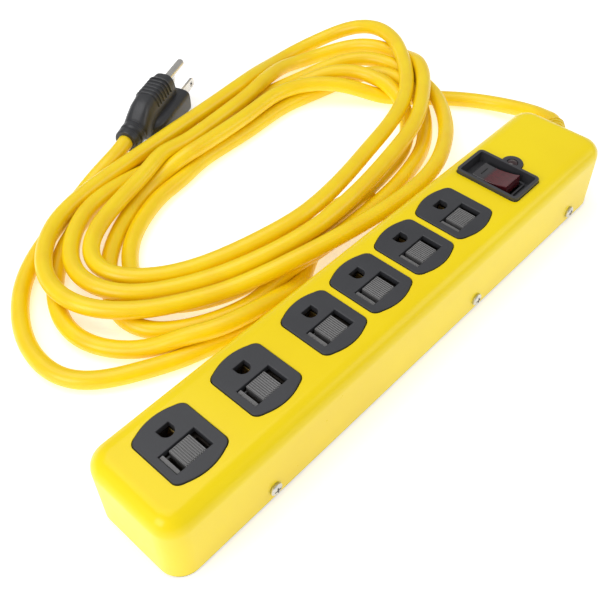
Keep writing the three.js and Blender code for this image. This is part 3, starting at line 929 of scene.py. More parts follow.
@dataclass
class Shell:
    """The enamelled steel channel with its openings, and the screws along its sides."""

    length: float = 294.0
    width: float = 50.0
    height: float = 37.6
    bottom: float = 1.3
    wall: float = 2.2
    fillet: float = 8.0
    corner: float = 10.0
    gap: float = 0.3
    fillet_steps: int = 14
    corner_steps: int = 14
    screw_xs: tuple[float, ...] = (-96.2, 38.6, 120.8)
    screw_z: float = 7.3
    bore_radius: float = 1.9
    bore_reach: float = 30.0
    exit_radius: float = 7.0
    opening_bottom: float = 30.0
    head_radius: float = 3.0
    head_height: float = 1.5

    def _block(self, name: str, margin: float, bottom: float, top: float) -> Solid:
        """The rounded block, inset by a margin.

        Args:
            name: The solid's name.
            margin: How far inside the outer skin.
            bottom: Its lowest height.
            top: Its highest.

        Returns:
            The block.
        """
        fillet = self.fillet - margin
        levels = [(0.0, bottom)]
        for i in range(self.fillet_steps + 1):
            a = math.pi / 2 * i / self.fillet_steps
            levels.append((fillet * (1 - math.cos(a)), top - fillet + fillet * math.sin(a)))
        rings = []
        for inset, z in levels:
            outline = rounded_rectangle(
                self.length / 2 - margin - inset, self.width / 2 - margin - inset,
                max(self.corner - margin - inset, 0.4), steps=self.corner_steps,
            )
            rings.append([(x, y, z) for x, y in outline])
        return Solid.loft(name, rings)

    def build(self, finishes: Finishes, outlets: "Outlets", switch: "Switch") -> None:
        """Builds the shell.

        Args:
            finishes: The finishes.
            outlets: The outlets, for their openings.
            switch: The switch, for its opening.
        """
        shell = self._block("shell", 0.0, self.bottom, self.height)
        cutters = [self._block("hollow", self.wall, self.bottom - 1.0, self.height - self.wall)]
        for centre in outlets.centres():
            outline = [(centre.x + x, centre.y + y) for x, y in outlets.outline(self.gap)]
            cutters.append(Solid.prism("opening", outline, self.opening_bottom, self.height + 1))
        cutters += switch.openings(self.gap, self.opening_bottom, self.height + 1)
        for x in self.screw_xs:
            cutters.append(
                Solid.turned(
                    "bore", [
                        (-self.bore_reach, self.bore_radius), (self.bore_reach, self.bore_radius)
                    ], (x, 0.0, self.screw_z), Axis.Y, 20
                )
            )
        cutters.append(
            Solid.turned(
                "exit_hole", [
                    (-8.0, self.exit_radius), (8.0, self.exit_radius)
                ], (self.length / 2, EXIT_Y, EXIT_Z), Axis.X,
                40
            )
        )
        shell.cut(*cutters).smooth(30.0).finish(
            finishes.shell, Body.ROOT.value, "yellow_shell", ["housing"]
        )

    def build_screws(self, finishes: Finishes, repeater: Repeater) -> None:
        """Builds the six cross-recessed screws.

        Args:
            finishes: The finishes.
            repeater: Puts them at their stations.
        """
        r, h = self.head_radius, self.head_height
        profile = [(-8.0, 1.2), (-7.2, 1.6), (-0.3, 1.6), (-0.3, r - 0.15), (0.0, r), (0.4 * h, r)]
        profile += [
            (
                h * (0.4 + 0.6 * math.sin(a)), r * (0.35 + 0.65 * math.cos(a))
            ) for a in (0.35, 0.7, 1.05, 1.35)
        ]
        profile.append((h, 0.25 * r))
        screw = Solid.turned("screw_part", profile, (0.0, 0.0, 0.0), Axis.Y, 32)
        arms = [
            Solid.block("arm", (-1.75, 0.5, -0.36), (1.75, 3.0, 0.36)),
            Solid.block("arm", (-0.36, 0.5, -1.75), (0.36, 3.0, 1.75)),
            Solid.turned("centre", [(0.4, 0.2), (2.0, 1.1)], (0.0, 0.0, 0.0), Axis.Y, 16),
        ]
        screw.cut(*arms)
        y = self.width / 2 + self.gap
        points = [(x, side * y, self.screw_z) for side in (-1, 1) for x in self.screw_xs]
        turns = [math.pi if side < 0 else 0.0 for side in (-1, 1) for _ in self.screw_xs]
        names = [f"side_screw_{side}_{i}" for side in ("front", "rear") for i in (1, 2, 3)]
        screws = repeater.at_stations("side_screws", screw, points, turns, finishes.screw)
        screws.smooth(40.0).finish(finishes.screw, Body.ROOT.value, "screw_steel", names)


# ---------------------------------------------------------------- outlets


@dataclass
class Outlets:
    """Six grounded outlets, each a face plate with a sliding safety cover in its window."""

    half_length: float = 13.1
    half_width: float = 15.9
    sagitta: float = 1.9
    corner: float = 4.0
    top: float = 38.2
    bottom: float = 35.0
    window: tuple[float, float, float, float] = (-9.75, 7.8, -9.4, 1.05)
    ground_y: float = 7.56
    ground_radius: float = 3.1
    ground_flat: float = 2.4
    cover_bottom: float = 33.3
    cover_deck: float = 34.3
    cover_top: float = 37.5
    pad_half: float = 5.0
    bar_end: float = -7.65
    ribs: int = 10
    bar_lines: int = 3
    count: int = 6

    def centres(self) -> list[Vector]:
        """Each outlet's centre, from its CAD face."""
        return [centre_of(f"outlet_face_{i + 1}") for i in range(self.count)]

    def outline(self, extra: float) -> list[Point2]:
        """The face's outline: straight across the strip, bowed along its two sides.

        Args:
            extra: How far outside the face it runs.

        Returns:
            The outline, anticlockwise.
        """
        hx, hy, c = self.half_length + extra, self.half_width + extra, self.corner
        side = hy - self.sagitta
        points: list[Point2] = [(-hx + c, -side)]
        points += bow(points[-1], (0.0, -hy - self.sagitta), (hx - c, -side), 20)
        points += bow(points[-1], (hx, -side + c * 0.25), (hx, -side + c), 8)
        points += [(hx, side - c)]
        points += bow(points[-1], (hx, side - c * 0.25), (hx - c, side), 8)
        points += bow(points[-1], (0.0, hy + self.sagitta), (-hx + c, side), 20)
        points += bow(points[-1], (-hx, side - c * 0.25), (-hx, side - c), 8)
        points += [(-hx, -side + c)]
        points += bow(points[-1], (-hx, -side + c * 0.25), (-hx + c, -side), 8)
        return points[:-1]

    def _ground(self, grow: float, bottom: float, top: float) -> Solid:
        """The opening for a ground pin: round towards -Y, straight-sided up to its flat."""
        outline = arc((0.0, self.ground_y), self.ground_radius + grow, 180, 360, 28)
        reach = self.ground_y + self.ground_flat + grow
        outline += [(self.ground_radius + grow, reach), (-self.ground_radius - grow, reach)]
        return Solid.prism("ground", outline, bottom, top)

    def build_face(self, index: int, centre: Vector, finishes: Finishes) -> None:
        """Builds one face plate.

        Args:
            index: The outlet's number from 1.
            centre: Its centre.
            finishes: The finishes.
        """
        face = Solid.prism(f"face_plate_{index}", self.outline(0.0), self.bottom, self.top)
        x0, x1, y0, y1 = self.window
        cutters = [
            Solid.block("window", (x0, y0, self.bottom - 1), (x1, y1, self.top + 1)),
            self._ground(0.0, self.bottom - 1, self.top + 1),
        ]
        face.cut(*cutters).soften(0.42, 3, 40.0)
        face.smooth(38.0).moved(Matrix.Translation((centre.x, centre.y, 0.0)))
        face.finish(finishes.face, Body.ROOT.value, "face_plastic", [f"outlet_face_{index}"])

    def build_cover(
        self, index: int, centre: Vector, finishes: Finishes, repeater: Repeater
    ) -> None:
        """Builds one sliding cover: a deck with its slot, an end bar and a ribbed finger pad.

        Args:
            index: The outlet's number from 1.
            centre: Its centre.
            finishes: The finishes.
            repeater: Lays the ribs.
        """
        y0, y1 = self.window[2] + 0.3, self.window[3] - 0.3
        start, half = self.window[0] + 0.3, self.pad_half
        deck = Solid.block(
            f"safety_slide_{index}", (start, y0, self.cover_bottom), (half, y1, self.cover_deck)
        )
        slot = Solid.block(
            "slot", (self.bar_end, y0 + 0.7, self.cover_bottom - 1),
            (-half, y1 - 0.7, self.cover_deck + 1)
        )
        deck.cut(slot).soften(0.12, 2)
        bar = Solid.block(
            "bar", (start, y0, self.cover_deck - 0.5), (self.bar_end, y1, self.cover_top)
        ).soften(0.3, 3)
        fine = Solid.block("fine", (-0.12, y0 + 0.5, -0.4), (0.12, y1 - 0.5, 0.14))
        line_step = (self.bar_end - start) / (self.bar_lines + 1)
        first_line = (start + line_step, 0.0, self.cover_top)
        lines = repeater.on_line(
            fine, self.bar_lines, first_line, (line_step, 0.0, 0.0), finishes.cover
        )
        pad = Solid.block(
            "pad", (-half, y0, self.cover_deck - 0.5), (half, y1, self.cover_top - 0.5)
        ).soften(0.2, 2)
        pitch = 2 * half / self.ribs
        rib = Solid.block(
            "rib", (-pitch * 0.27, y0 + 0.3, -0.6), (pitch * 0.27, y1 - 0.3, 0.5)
        ).soften(0.22, 2)
        first = (-half + pitch / 2, 0.0, self.cover_top - 0.5)
        ribs = repeater.on_line(rib, self.ribs, first, (pitch, 0.0, 0.0), finishes.cover)
        cover = deck.beside(bar, lines, pad, ribs).smooth(38.0).moved(
            Matrix.Translation((centre.x, centre.y, 0.0))
        )
        cover.finish(
            finishes.cover, f"{Body.COVER.value}{index}", "cover_plastic", [f"safety_cover_{index}"]
        )

    def build_contacts(self, finishes: Finishes, repeater: Repeater) -> None:
        """Builds the ground contacts' spring leaves, which show through the round openings.

        Args:
            finishes: The finishes.
            repeater: Puts a pair under each opening.
        """
        low = centre_of("outlet_carrier").z
        leaves = []
        for side in (-1, 1):
            rows = []
            for z, spread in (
                (low - 4.6, 2.9), (low - 1.0, 2.7), (low + 2.0, 1.9), (low + 3.6, 1.8),
                (self.bottom - 0.6, 2.9)
            ):
                near, far = side * (spread - 0.35), side * spread
                rows.append([(near, -2.4, z), (far, -2.4, z), (far, 2.4, z), (near, 2.4, z)])
            leaves.append(Solid.loft("leaf", rows))
        pair = leaves[0].beside(leaves[1])
        points = [(c.x, c.y + self.ground_y, 0.0) for c in self.centres()]
        springs = repeater.at_stations(
            "ground_contact_springs", pair, points, [0.0] * self.count, finishes.brass
        )
        springs.smooth(35.0).finish(finishes.brass, Body.ROOT.value, "contact_brass")

    def build(self, finishes: Finishes, repeater: Repeater) -> None:
        """Builds all six outlets."""
        for index, centre in enumerate(self.centres(), 1):
            self.build_face(index, centre, finishes)
            self.build_cover(index, centre, finishes, repeater)
        self.build_contacts(finishes, repeater)


# ---------------------------------------------------------------- switch


@dataclass
class Switch:
    """The guarded rocker switch with its indicator beside it."""

    half_x: float = 10.7
    half_y: float = 17.2
    corner: float = 2.5
    wall: float = 1.6
    rise: float = 1.8
    depth: float = 5.0
    floor: float = 1.0
    lobe_radius: float = 5.2
    lens_radius: float = 2.6
    shell_top: float = 37.6
    rocker_half_x: float = 6.0
    rocker_half_y: float = 9.7
    tilt: float = -7.0
    pivot_drop: float = 7.5
    pin_bore: float = 1.5

    def centre(self) -> Vector:
        """The bezel's centre in plan, from the CAD pivot pin."""
        return centre_of("rocker_pivot_pin")

    def lens_x(self) -> float:
        """Where the indicator stands along the strip."""
        return centre_of("indicator_lens").x

    def openings(self, extra: float, bottom: float, top: float) -> list[Solid]:
        """What the shell loses for the bezel and its lobe."""
        c = self.centre()
        frame_outline = rounded_rectangle(
            self.half_x + extra, self.half_y + extra, self.corner, (c.x, c.y), 8
        )
        lobe = [(bottom, self.lobe_radius + extra), (top, self.lobe_radius + extra)]
        return [
            Solid.prism("bezel_opening", frame_outline, bottom, top),
            Solid.turned("lobe_opening", lobe, (self.lens_x(), c.y, 0.0), Axis.Z, 48),
        ]

    def build_bezel(self, finishes: Finishes) -> None:
        """Builds the guard frame, its recessed floor and the indicator's lobe."""
        c, top = self.centre(), self.shell_top
        bottom = top - self.depth
        outline = rounded_rectangle(self.half_x, self.half_y, self.corner, (c.x, c.y), 8)
        bezel = Solid.prism("switch_guard", outline, bottom, top + self.rise)
        lobe = [(bottom, self.lobe_radius), (top + self.rise * 0.5, self.lobe_radius)]
        bezel.add(Solid.turned("lobe", lobe, (self.lens_x(), c.y, 0.0), Axis.Z, 48))
        well = rounded_rectangle(
            self.half_x - self.wall, self.half_y - self.wall, 1.0, (c.x, c.y), 5
        )
        rx, ry = self.rocker_half_x + 0.4, self.rocker_half_y + 0.9
        seat = [(bottom - 1, self.lens_radius + 0.3), (top + 5, self.lens_radius + 0.3)]
        bezel.cut(
            Solid.prism("well", well, bottom + self.floor, top + 5),
            Solid.block(
                "rocker_opening", (c.x - rx, c.y - ry, bottom - 1), (c.x + rx, c.y + ry, top)
            ),
            Solid.turned("lens_seat", seat, (self.lens_x(), c.y, 0.0), Axis.Z, 32),
        )
        bezel.soften(0.4, 3, 40.0).smooth(38.0)
        bezel.finish(finishes.bezel, Body.ROOT.value, "switch_plastic", ["switch_bezel"])

    def build_collar(self, finishes: Finishes) -> None:
        """Builds the raised lip around the rocker, inside the well."""
        c = self.centre()
        floor = self.shell_top - self.depth + self.floor
        rx, ry = self.rocker_half_x + 1.5, self.rocker_half_y + 2.0
        lip = Solid.prism(
            "rocker_lip", rounded_rectangle(rx, ry, 1.2, (c.x, c.y), 5), floor - 0.2, floor + 1.3
        )
        inner = rounded_rectangle(rx - 1.0, ry - 1.0, 0.6, (c.x, c.y), 4)
        lip.cut(Solid.prism("inner", inner, floor - 1.0, floor + 3.0)).soften(0.25, 2).smooth(38.0)
        lip.finish(finishes.bezel, Body.ROOT.value, "switch_plastic")

    def _stand(self) -> Matrix:
        """From the rocker's own place to its place at rest."""
        c = self.centre()
        return Matrix.Translation((c.x, c.y, c.z)) @ Matrix.Rotation(
            math.radians(self.tilt), 4, "X"
        )

    def build_rocker(self, finishes: Finishes) -> None:
        """Builds the rocker, dished between its two finger faces, and the line marked on it."""
        hy, top = self.rocker_half_y, self.pivot_drop - 0.4
        lift = math.tan(math.radians(abs(self.tilt))) * hy
        section: list[Point2] = [(-hy, top + lift), (-hy, top - 4.4), (-3.2, -3.4)]
        section += arc((0.0, -3.4), 3.2, 180, 360, 14)[1:]
        section += [(hy, top - 4.4), (hy, top + lift)]
        section += bow(section[-1], (0.0, top - lift), (-hy, top + lift), 24)[:-1]
        hx = self.rocker_half_x
        rocker = Solid.loft("rocker_key", [[(x, y, z) for y, z in section] for x in (-hx, hx)])
        bore = Solid.turned(
            "bore", [(-hx - 1, self.pin_bore), (hx + 1, self.pin_bore)], (0.0, 0.0, 0.0), Axis.X, 20
        )
        rocker.cut(bore).soften(0.5, 3, 42.0).smooth(38.0).moved(self._stand())
        rocker.finish(finishes.rocker, Body.ROCKER.value, "rocker_plastic", ["rocker"])
        mark = Solid.block(
            "rocker_mark", (-2.6, hy - 3.5, top + 0.1), (2.6, hy - 3.05, top + lift - 0.35)
        ).soften(0.1, 2)
        mark.smooth(38.0).moved(self._stand()).finish(
            finishes.mark, Body.ROCKER.value, "rocker_plastic"
        )

    def build_lens(self, finishes: Finishes) -> None:
        """Builds the indicator's domed lens."""
        c, top, r = self.centre(), self.shell_top, self.lens_radius
        profile = [(top - 4, r), (top + 0.5, r)]
        profile += [
            (top + 0.5 + 0.9 * math.sin(a), r * math.cos(a)) for a in (0.3, 0.6, 0.9, 1.2, 1.45)
        ]
        lens = Solid.turned("indicator_dome", profile, (self.lens_x(), c.y, 0.0), Axis.Z, 40)
        lens.smooth(40.0).finish(
            finishes.lens, Body.ROOT.value, "rocker_plastic", ["indicator_lens"]
        )

    def build(self, finishes: Finishes) -> None:
        """Builds the switch."""
        self.build_bezel(finishes)
        self.build_collar(finishes)
        self.build_rocker(finishes)
        self.build_lens(finishes)


# ---------------------------------------------------------------- plug


@dataclass
class Plug:
    """The moulded plug with two flat blades and a round ground pin on top."""

    back: Point2 = (0.5, 183.5)
    turn: float = 22.6
    axis_z: float = 14.0
    length: float = 56.0
    blade_length: float = 16.5
    blade_spacing: float = 12.7
    blade_low: float = -7.2
    blade_high: float = -0.9
    blade_half: float = 0.75
    hole_radius: float = 1.6
    pin_radius: float = 2.4
    pin_up: float = 7.9
    gap: float = 0.3
    sides: int = 56
    grip_ribs: int = 6
    stations: tuple[tuple[float, ...], ...] = field(
        default=(
            (0.0, 6.2, 6.2, 0.0, 2.0), (0.8, 6.7, 6.7, 0.0, 2.0), (3.6, 6.9, 6.9, 0.0, 2.0),
            (4.4, 6.2, 6.2, 0.0, 2.0), (5.6, 6.2, 6.2, 0.0, 2.0), (6.4, 7.1, 7.1, 0.0, 2.0),
            (9.0, 7.2, 7.2, 0.0, 2.0), (9.8, 6.6, 6.6, 0.0, 2.0), (11.2, 6.6, 6.6, 0.0, 2.0),
            (12.2, 7.4, 7.6, 0.1, 2.1), (15.0, 7.6, 9.0, 0.4, 2.3), (20.0, 7.6, 11.6, 0.8, 2.6),
            (26.0, 7.5, 12.8, 1.0, 2.8), (36.0, 7.4, 13.0, 1.0, 3.0), (46.0, 7.3, 12.8, 0.8, 3.0),
            (50.0, 7.1, 12.6, 0.6, 3.0), (51.0, 6.6, 12.1, 0.5, 3.0),
        )
    )
    block_stations: tuple[tuple[float, ...], ...] = field(
        default=(
            (18.0, 7.0, 4.6, -6.0, 2.4), (20.0, 9.6, 6.0, -6.0, 2.8), (23.0, 11.6, 7.0, -6.0, 3.2),
            (28.0, 12.7, 7.4, -6.0, 3.8), (36.0, 13.0, 7.5, -6.0, 4.2), (
                48.0, 13.0, 7.5, -6.0, 4.4
            ),
            (55.0, 13.0, 7.5, -6.0, 4.6), (55.7, 12.7, 7.2, -6.0, 4.6), (
                56.0, 12.2, 6.8, -6.0, 4.6
            ),
        )
    )

    def _stand(self) -> Matrix:
        """From the plug's own place to where it lies."""
        return Matrix.Translation((*self.back, self.axis_z)) @ Matrix.Rotation(
            math.radians(self.turn), 4, "Z"
        )

    def _ring(
        self, x: float, half_y: float, half_z: float, lift: float, power: float
    ) -> list[Point3]:
        """One cross-section of the body."""
        ring = []
        for i in range(self.sides):
            a = 2 * math.pi * i / self.sides
            c, s = math.cos(a), math.sin(a)
            y = half_y * math.copysign(abs(c) ** (2 / power), c)
            z = half_z * math.copysign(abs(s) ** (2 / power), s)
            ring.append((x, y, z + lift))
        return ring

    def build_body(self, finishes: Finishes, repeater: Repeater) -> bpy.types.Object:
        """Builds the body: collar rings and a narrow ribbed hump on a wider block.

        Args:
            finishes: The finishes.
            repeater: Lays the grip ribs.

        Returns:
            The piece.
        """
        body = Solid.loft("plug_moulding", [self._ring(*station) for station in self.stations])
        block = Solid.loft("block", [self._ring(*station) for station in self.block_stations])
        body.add(block).soften(0.6, 3, 50.0)
        rings = []
        for x, grow in ((-0.75, -0.5), (-0.45, 0.35), (0.0, 0.55), (0.45, 0.35), (0.75, -0.5)):
            rings.append(self._ring(x, 7.4 + grow, 13.0 + grow, 1.0, 3.0))
        rib = Solid.loft("grip", rings).cut(
            Solid.block("lower", (-3.0, -20.0, -20.0), (3.0, 20.0, 6.4))
        )
        ribs = repeater.on_line(
            rib, self.grip_ribs, (28.5, 0.0, -0.05), (3.1, 0.0, 0.0), finishes.plug
        )
        body.beside(ribs).smooth(36.0).moved(self._stand())
        return body.finish(finishes.plug, Body.ROOT.value, "plug_plastic", ["plug_body"])

    def build_pins(self, finishes: Finishes) -> list[bpy.types.Object]:
        """Builds the two blades and the ground pin.

        Args:
            finishes: The finishes.

        Returns:
            The pieces.
        """
        start = self.length + self.gap
        end = start + self.blade_length
        pieces = []
        for name, side in (("line", -1), ("neutral", 1)):
            y = side * self.blade_spacing / 2
            outline = [
                (start - 3, self.blade_low), (
                    end - 2.0, self.blade_low
                ), (end, -6.0), (end, -2.1), (end - 2.0, self.blade_high),
                (start - 3, self.blade_high)
            ]
            blade = Solid.loft(
                f"plug_{name}_prong", [
                    [(x, y + t, z) for x, z in outline] for t in (-self.blade_half, self.blade_half)
                ]
            )
            hole = Solid.turned(
                "hole", [
                    (-3.0, self.hole_radius), (3.0, self.hole_radius)
                ], (start + 12.5, y, -4.05), Axis.Y, 28
            )
            blade.cut(hole).soften(0.2, 2).smooth(38.0).moved(self._stand())
            pieces.append(
                blade.finish(
                    finishes.nickel, Body.ROOT.value, "blade_nickel", [f"plug_{name}_blade"]
                )
            )
        tip = end + 0.5
        profile = [(start - 7.5, self.pin_radius), (tip - self.pin_radius, self.pin_radius)]
        profile += [
            (
                tip - self.pin_radius + self.pin_radius * math.sin(a), self.pin_radius * math.cos(a)
            ) for a in (0.3, 0.6, 0.9, 1.2, 1.45)
        ]
        pin = Solid.turned("plug_earth_pin", profile, (0.0, 0.0, self.pin_up), Axis.X, 32)
        pin.smooth(40.0).moved(self._stand())
        pieces.append(
            pin.finish(finishes.nickel, Body.ROOT.value, "blade_nickel", ["plug_ground_pin"])
        )
        return pieces

    def build(self, finishes: Finishes, repeater: Repeater) -> list[bpy.types.Object]:
        """Builds the plug and returns its pieces."""
        return [self.build_body(finishes, repeater), *self.build_pins(finishes)]


# ---------------------------------------------------------------- cord


@dataclass
class Cord:
    """The round cord: out of the strip's end, wound into a flattened coil, and into the plug."""

    diameter: float = 8.6
    spacing: float = 2.6
    keep_start: float = 30.0
    keep_end: float = 26.0
    settle_steps: int = 26
    knot_steps: int = 12
    own_reach: float = 5.0
    strip_side: float = 25.0
    relief_bend: float = 30.0
    relief_length: float = 24.0
    relief_rings: int = 6
    wall_x: float = 147.3
    route: tuple[Point3, ...] = (
        (147.5, 8, 16), (152, 8, 16), (157, 9, 16), (162, 10.5, 16), (166.5, 13, 16),
        (170.5, 16, 16), (173.5, 20, 15), (176, 25, 13.5), (178, 32, 11.5), (179, 41, 9),
        (179, 51, 7), (178, 60, 5), (174.5, 69.5, 4.5), (168.5, 79, 4.5), (160, 89.5, 4.5),
        (150, 101, 4.5), (140, 112, 5), (132, 123, 9), (125, 133, 12.5),
        (117, 143, 13), (106, 150.5, 13), (92, 155, 13), (66, 152, 13), (26, 150.5, 13),
        (5.5, 153, 9),
        (-12, 152, 5), (-31, 144, 4.5), (-51, 133, 4.5), (-64, 121, 4.5), (-73, 108, 4.5),
        (-79, 96, 4.5), (-80.5, 85, 4.5), (-76, 74, 4.5), (-66, 65, 4.5), (-52, 57.5, 4.5),
        (-33, 51.5, 4.5), (-15, 49, 8), (4, 47.5, 12), (22, 47, 13), (52, 47.5, 13), (74, 49.5, 13),
        (92, 54, 12), (110, 61, 8), (125, 69.5, 7), (137, 80, 9.5), (146, 92, 13), (151, 104, 13),
        (152.5, 116, 13), (150, 127, 12), (143, 136, 9), (132, 142.5, 5.5),
        (119, 147, 4.5), (105, 149.5, 4.5), (90, 151.5, 4.5), (63.5, 149.5, 4.5), (24.5, 150, 4.5),
        (1.5, 148, 4.5), (-19, 141.5, 4.5), (-40, 131, 4.5), (-52, 119, 4.5), (-60, 107, 4.5),
        (-64.5, 95, 4.5), (-63, 84, 4.5), (-55, 75.5, 4.5), (-42, 68, 4.5),
        (-24, 61.5, 4.5), (-6, 59, 8), (12, 57, 12.5), (30, 57, 13), (60, 58.5, 13), (82, 62, 12),
        (101, 68, 8), (118, 77, 6), (130, 87, 8), (137.5, 97, 12.5), (141, 108, 13),
        (142.5, 119, 13.5), (140, 130, 15), (133.5, 140, 15), (124, 149.5, 12), (111, 156, 7),
        (97, 159.5, 4.5),
        (70, 161, 4.5), (40, 161.5, 4.5), (12, 161.5, 5.5), (-12, 162, 9), (-30, 160.5, 12.5),
        (-47, 156, 13), (-61, 148, 13), (-74, 136, 13), (-80, 125, 13), (-81, 114, 13),
        (-78, 103, 13), (-70, 91, 13), (-56, 81, 13), (-36, 69.5, 14.5),
        (-14, 59, 19), (12, 53, 21.5), (43, 54.5, 21.5), (66, 58, 21.5), (92, 63.5, 21.5),
        (112, 68.5, 21.5), (130, 78, 21.5), (146, 88.5, 21.5), (159, 99.5, 21.5), (167, 112, 18.5),
        (172, 126, 13.5), (173, 139, 13), (169.5, 151, 12.5), (161, 163, 9), (149, 172, 5.5),
        (135, 177, 4.5), (118, 177, 9), (80.5, 166, 13), (35, 160.5, 13), (-5.5, 155.5, 13),
        (-50, 142, 13), (-63, 134, 13), (-70, 125, 13), (-71.5, 115, 13), (-68, 105, 13),
        (-60, 96, 13), (-49, 87.5, 13), (-30, 78, 14.5),
        (-9, 69, 19), (14, 63.5, 21.5), (39, 65.5, 21.5), (59, 69, 21.5), (83, 74.5, 21.5),
        (98, 77.5, 21.5), (113, 82, 21.5), (128, 88, 21.5), (145, 100, 21.5), (161, 115, 21.5),
        (172, 130, 21.5), (178, 145, 21.5), (177.5, 158, 19.5), (172, 170, 15), (161, 180, 9),
        (147, 187, 5),
        (129, 188, 4.5), (112, 184, 8), (92.5, 178, 13), (47.5, 174, 13), (7.5, 171, 13),
        (-60, 162, 13), (-77, 151, 13), (-86, 141, 13), (-92.5, 129, 13), (-94, 116, 13),
        (-91.5, 103, 13), (-84, 91, 13), (-72, 79, 13), (-54, 68, 13),
        (-37, 59, 14), (-18, 50, 18.5), (2, 43, 21.5), (25, 39, 21.5), (50, 36, 21.5),
        (75, 35.5, 21.5), (93, 39, 21.5), (110, 47, 20), (124, 55.5, 17), (137, 66, 14),
        (147, 76, 13), (155, 88, 13), (159.5, 101, 13), (161.5, 116, 13), (161, 130, 13),
        (156.5, 141, 13), (147, 150.5, 11.5), (132, 158.5, 7.5), (116, 164.5, 4.5),
        (95, 168.5, 4.5), (60, 170, 4.5), (20, 170, 4.5), (-18, 168, 4.5), (-46, 161, 4.5),
        (-70, 149, 4.5),
        (-86, 134, 4.5), (-95, 121, 4.5), (-100, 109, 4.5), (-101.5, 98, 4.5), (-99, 87, 4.5),
        (-92.5, 76, 4.5), (-84, 66, 5.5), (-73, 56, 9), (-59, 47, 13),
        (-40, 42.5, 13), (-22, 43, 9), (-4, 46.5, 6), (10, 53, 4.5), (24, 61, 4.5), (36, 67, 4.5),
        (46, 69.5, 4.5), (56, 67, 4.5), (63.5, 59.5, 4.5), (66, 49.5, 4.5), (63.5, 39.5, 4.5),
        (56, 32, 4.5), (46, 30, 4.5),
        (26, 30, 4.5), (0, 31, 4.5), (-30, 36, 4.5), (-52, 44, 4.5), (-71, 51.5, 4.5),
        (-86, 56.5, 4.5), (-99, 63, 4.5), (-111, 70.5, 4.5), (-119.5, 81, 4.5), (-121.5, 94, 4.5),
        (-119.5, 108, 4.5), (-114, 122, 4.5), (-106, 134.5, 4.5), (-96, 145.5, 4.5),
        (-82, 155.5, 4.5), (-67, 163, 4.5), (-53, 168, 6), (-38, 172.5, 8.5), (-22, 176.5, 11.5),
        (-8, 180.5, 13), (0.5, 183.5, 14), (10, 187.5, 14),
    )

    def _curve_points(self) -> np.ndarray:
        """Evenly spaced points on a smooth curve through the route, in millimetres."""
        knots = [np.array(point, float) for point in self.route]
        knots = [2 * knots[0] - knots[1], *knots, 2 * knots[-1] - knots[-2]]
        fine: list[np.ndarray] = []
        for a, b, c, d in zip(knots, knots[1:], knots[2:], knots[3:]):
            t0 = 0.0
            t1 = t0 + np.linalg.norm(b - a) ** 0.5
            t2 = t1 + np.linalg.norm(c - b) ** 0.5
            t3 = t2 + np.linalg.norm(d - c) ** 0.5
            for t in np.linspace(t1, t2, self.knot_steps, endpoint=False):
                ab = (t1 - t) / (t1 - t0) * a + (t - t0) / (t1 - t0) * b
                bc = (t2 - t) / (t2 - t1) * b + (t - t1) / (t2 - t1) * c
                cd = (t3 - t) / (t3 - t2) * c + (t - t2) / (t3 - t2) * d
                abc = (t2 - t) / (t2 - t0) * ab + (t - t0) / (t2 - t0) * bc
                bcd = (t3 - t) / (t3 - t1) * bc + (t - t1) / (t3 - t1) * cd
                fine.append((t2 - t) / (t2 - t1) * abc + (t - t1) / (t2 - t1) * bcd)
        fine.append(knots[-2])
        return self._even(np.array(fine))

    def _even(self, points: np.ndarray) -> np.ndarray:
        """Spaces points evenly along their own line."""
        along = np.concatenate([[0.0], np.cumsum(np.linalg.norm(np.diff(points, axis=0), axis=1))])
        stops = np.linspace(0.0, along[-1], int(along[-1] / self.spacing) + 1)
        return np.stack([np.interp(stops, along, points[:, k]) for k in range(3)], axis=1)

    def settled(self) -> np.ndarray:
        """The cord's centreline, with strands that touch pushed a diameter apart and bends eased.

        Returns:
            The points in millimetres.
        """
        points = self._curve_points()
        count = len(points)
        order = np.arange(count)
        loose = (order * self.spacing > self.keep_start) & (
            (count - 1 - order) * self.spacing > self.keep_end
        )
        far = np.abs(
            order[:, None] - order[None, :]
        ) * self.spacing > self.own_reach * self.diameter
        weight = loose.astype(float)[:, None]
        radius = self.diameter / 2
        for _ in range(self.settle_steps):
            apart = points[:, None, :] - points[None, :, :]
            distance = np.sqrt((apart**2).sum(axis=2)) + 1e-6
            close = far & (distance < self.diameter)
            push = np.where(close, (self.diameter - distance) / distance, 0.0)
            move = (
                apart * push[:, :, None]
            ).sum(axis=1) / np.maximum(close.sum(axis=1), 1)[:, None]
            points = points + 0.5 * weight * move
            eased = points.copy()
            eased[1:-1] = 0.25 * points[:-2] + 0.5 * points[1:-1] + 0.25 * points[2:]
            points = points + weight * (eased - points)
            points[:, 2] = np.maximum(points[:, 2], radius + 0.05)
            beside = (np.abs(points[:, 0]) < self.wall_x) & (points[:, 1] > 10.0) & loose
            points[beside, 1] = np.maximum(points[beside, 1], self.strip_side + radius + 0.2)
        return self._even(points)

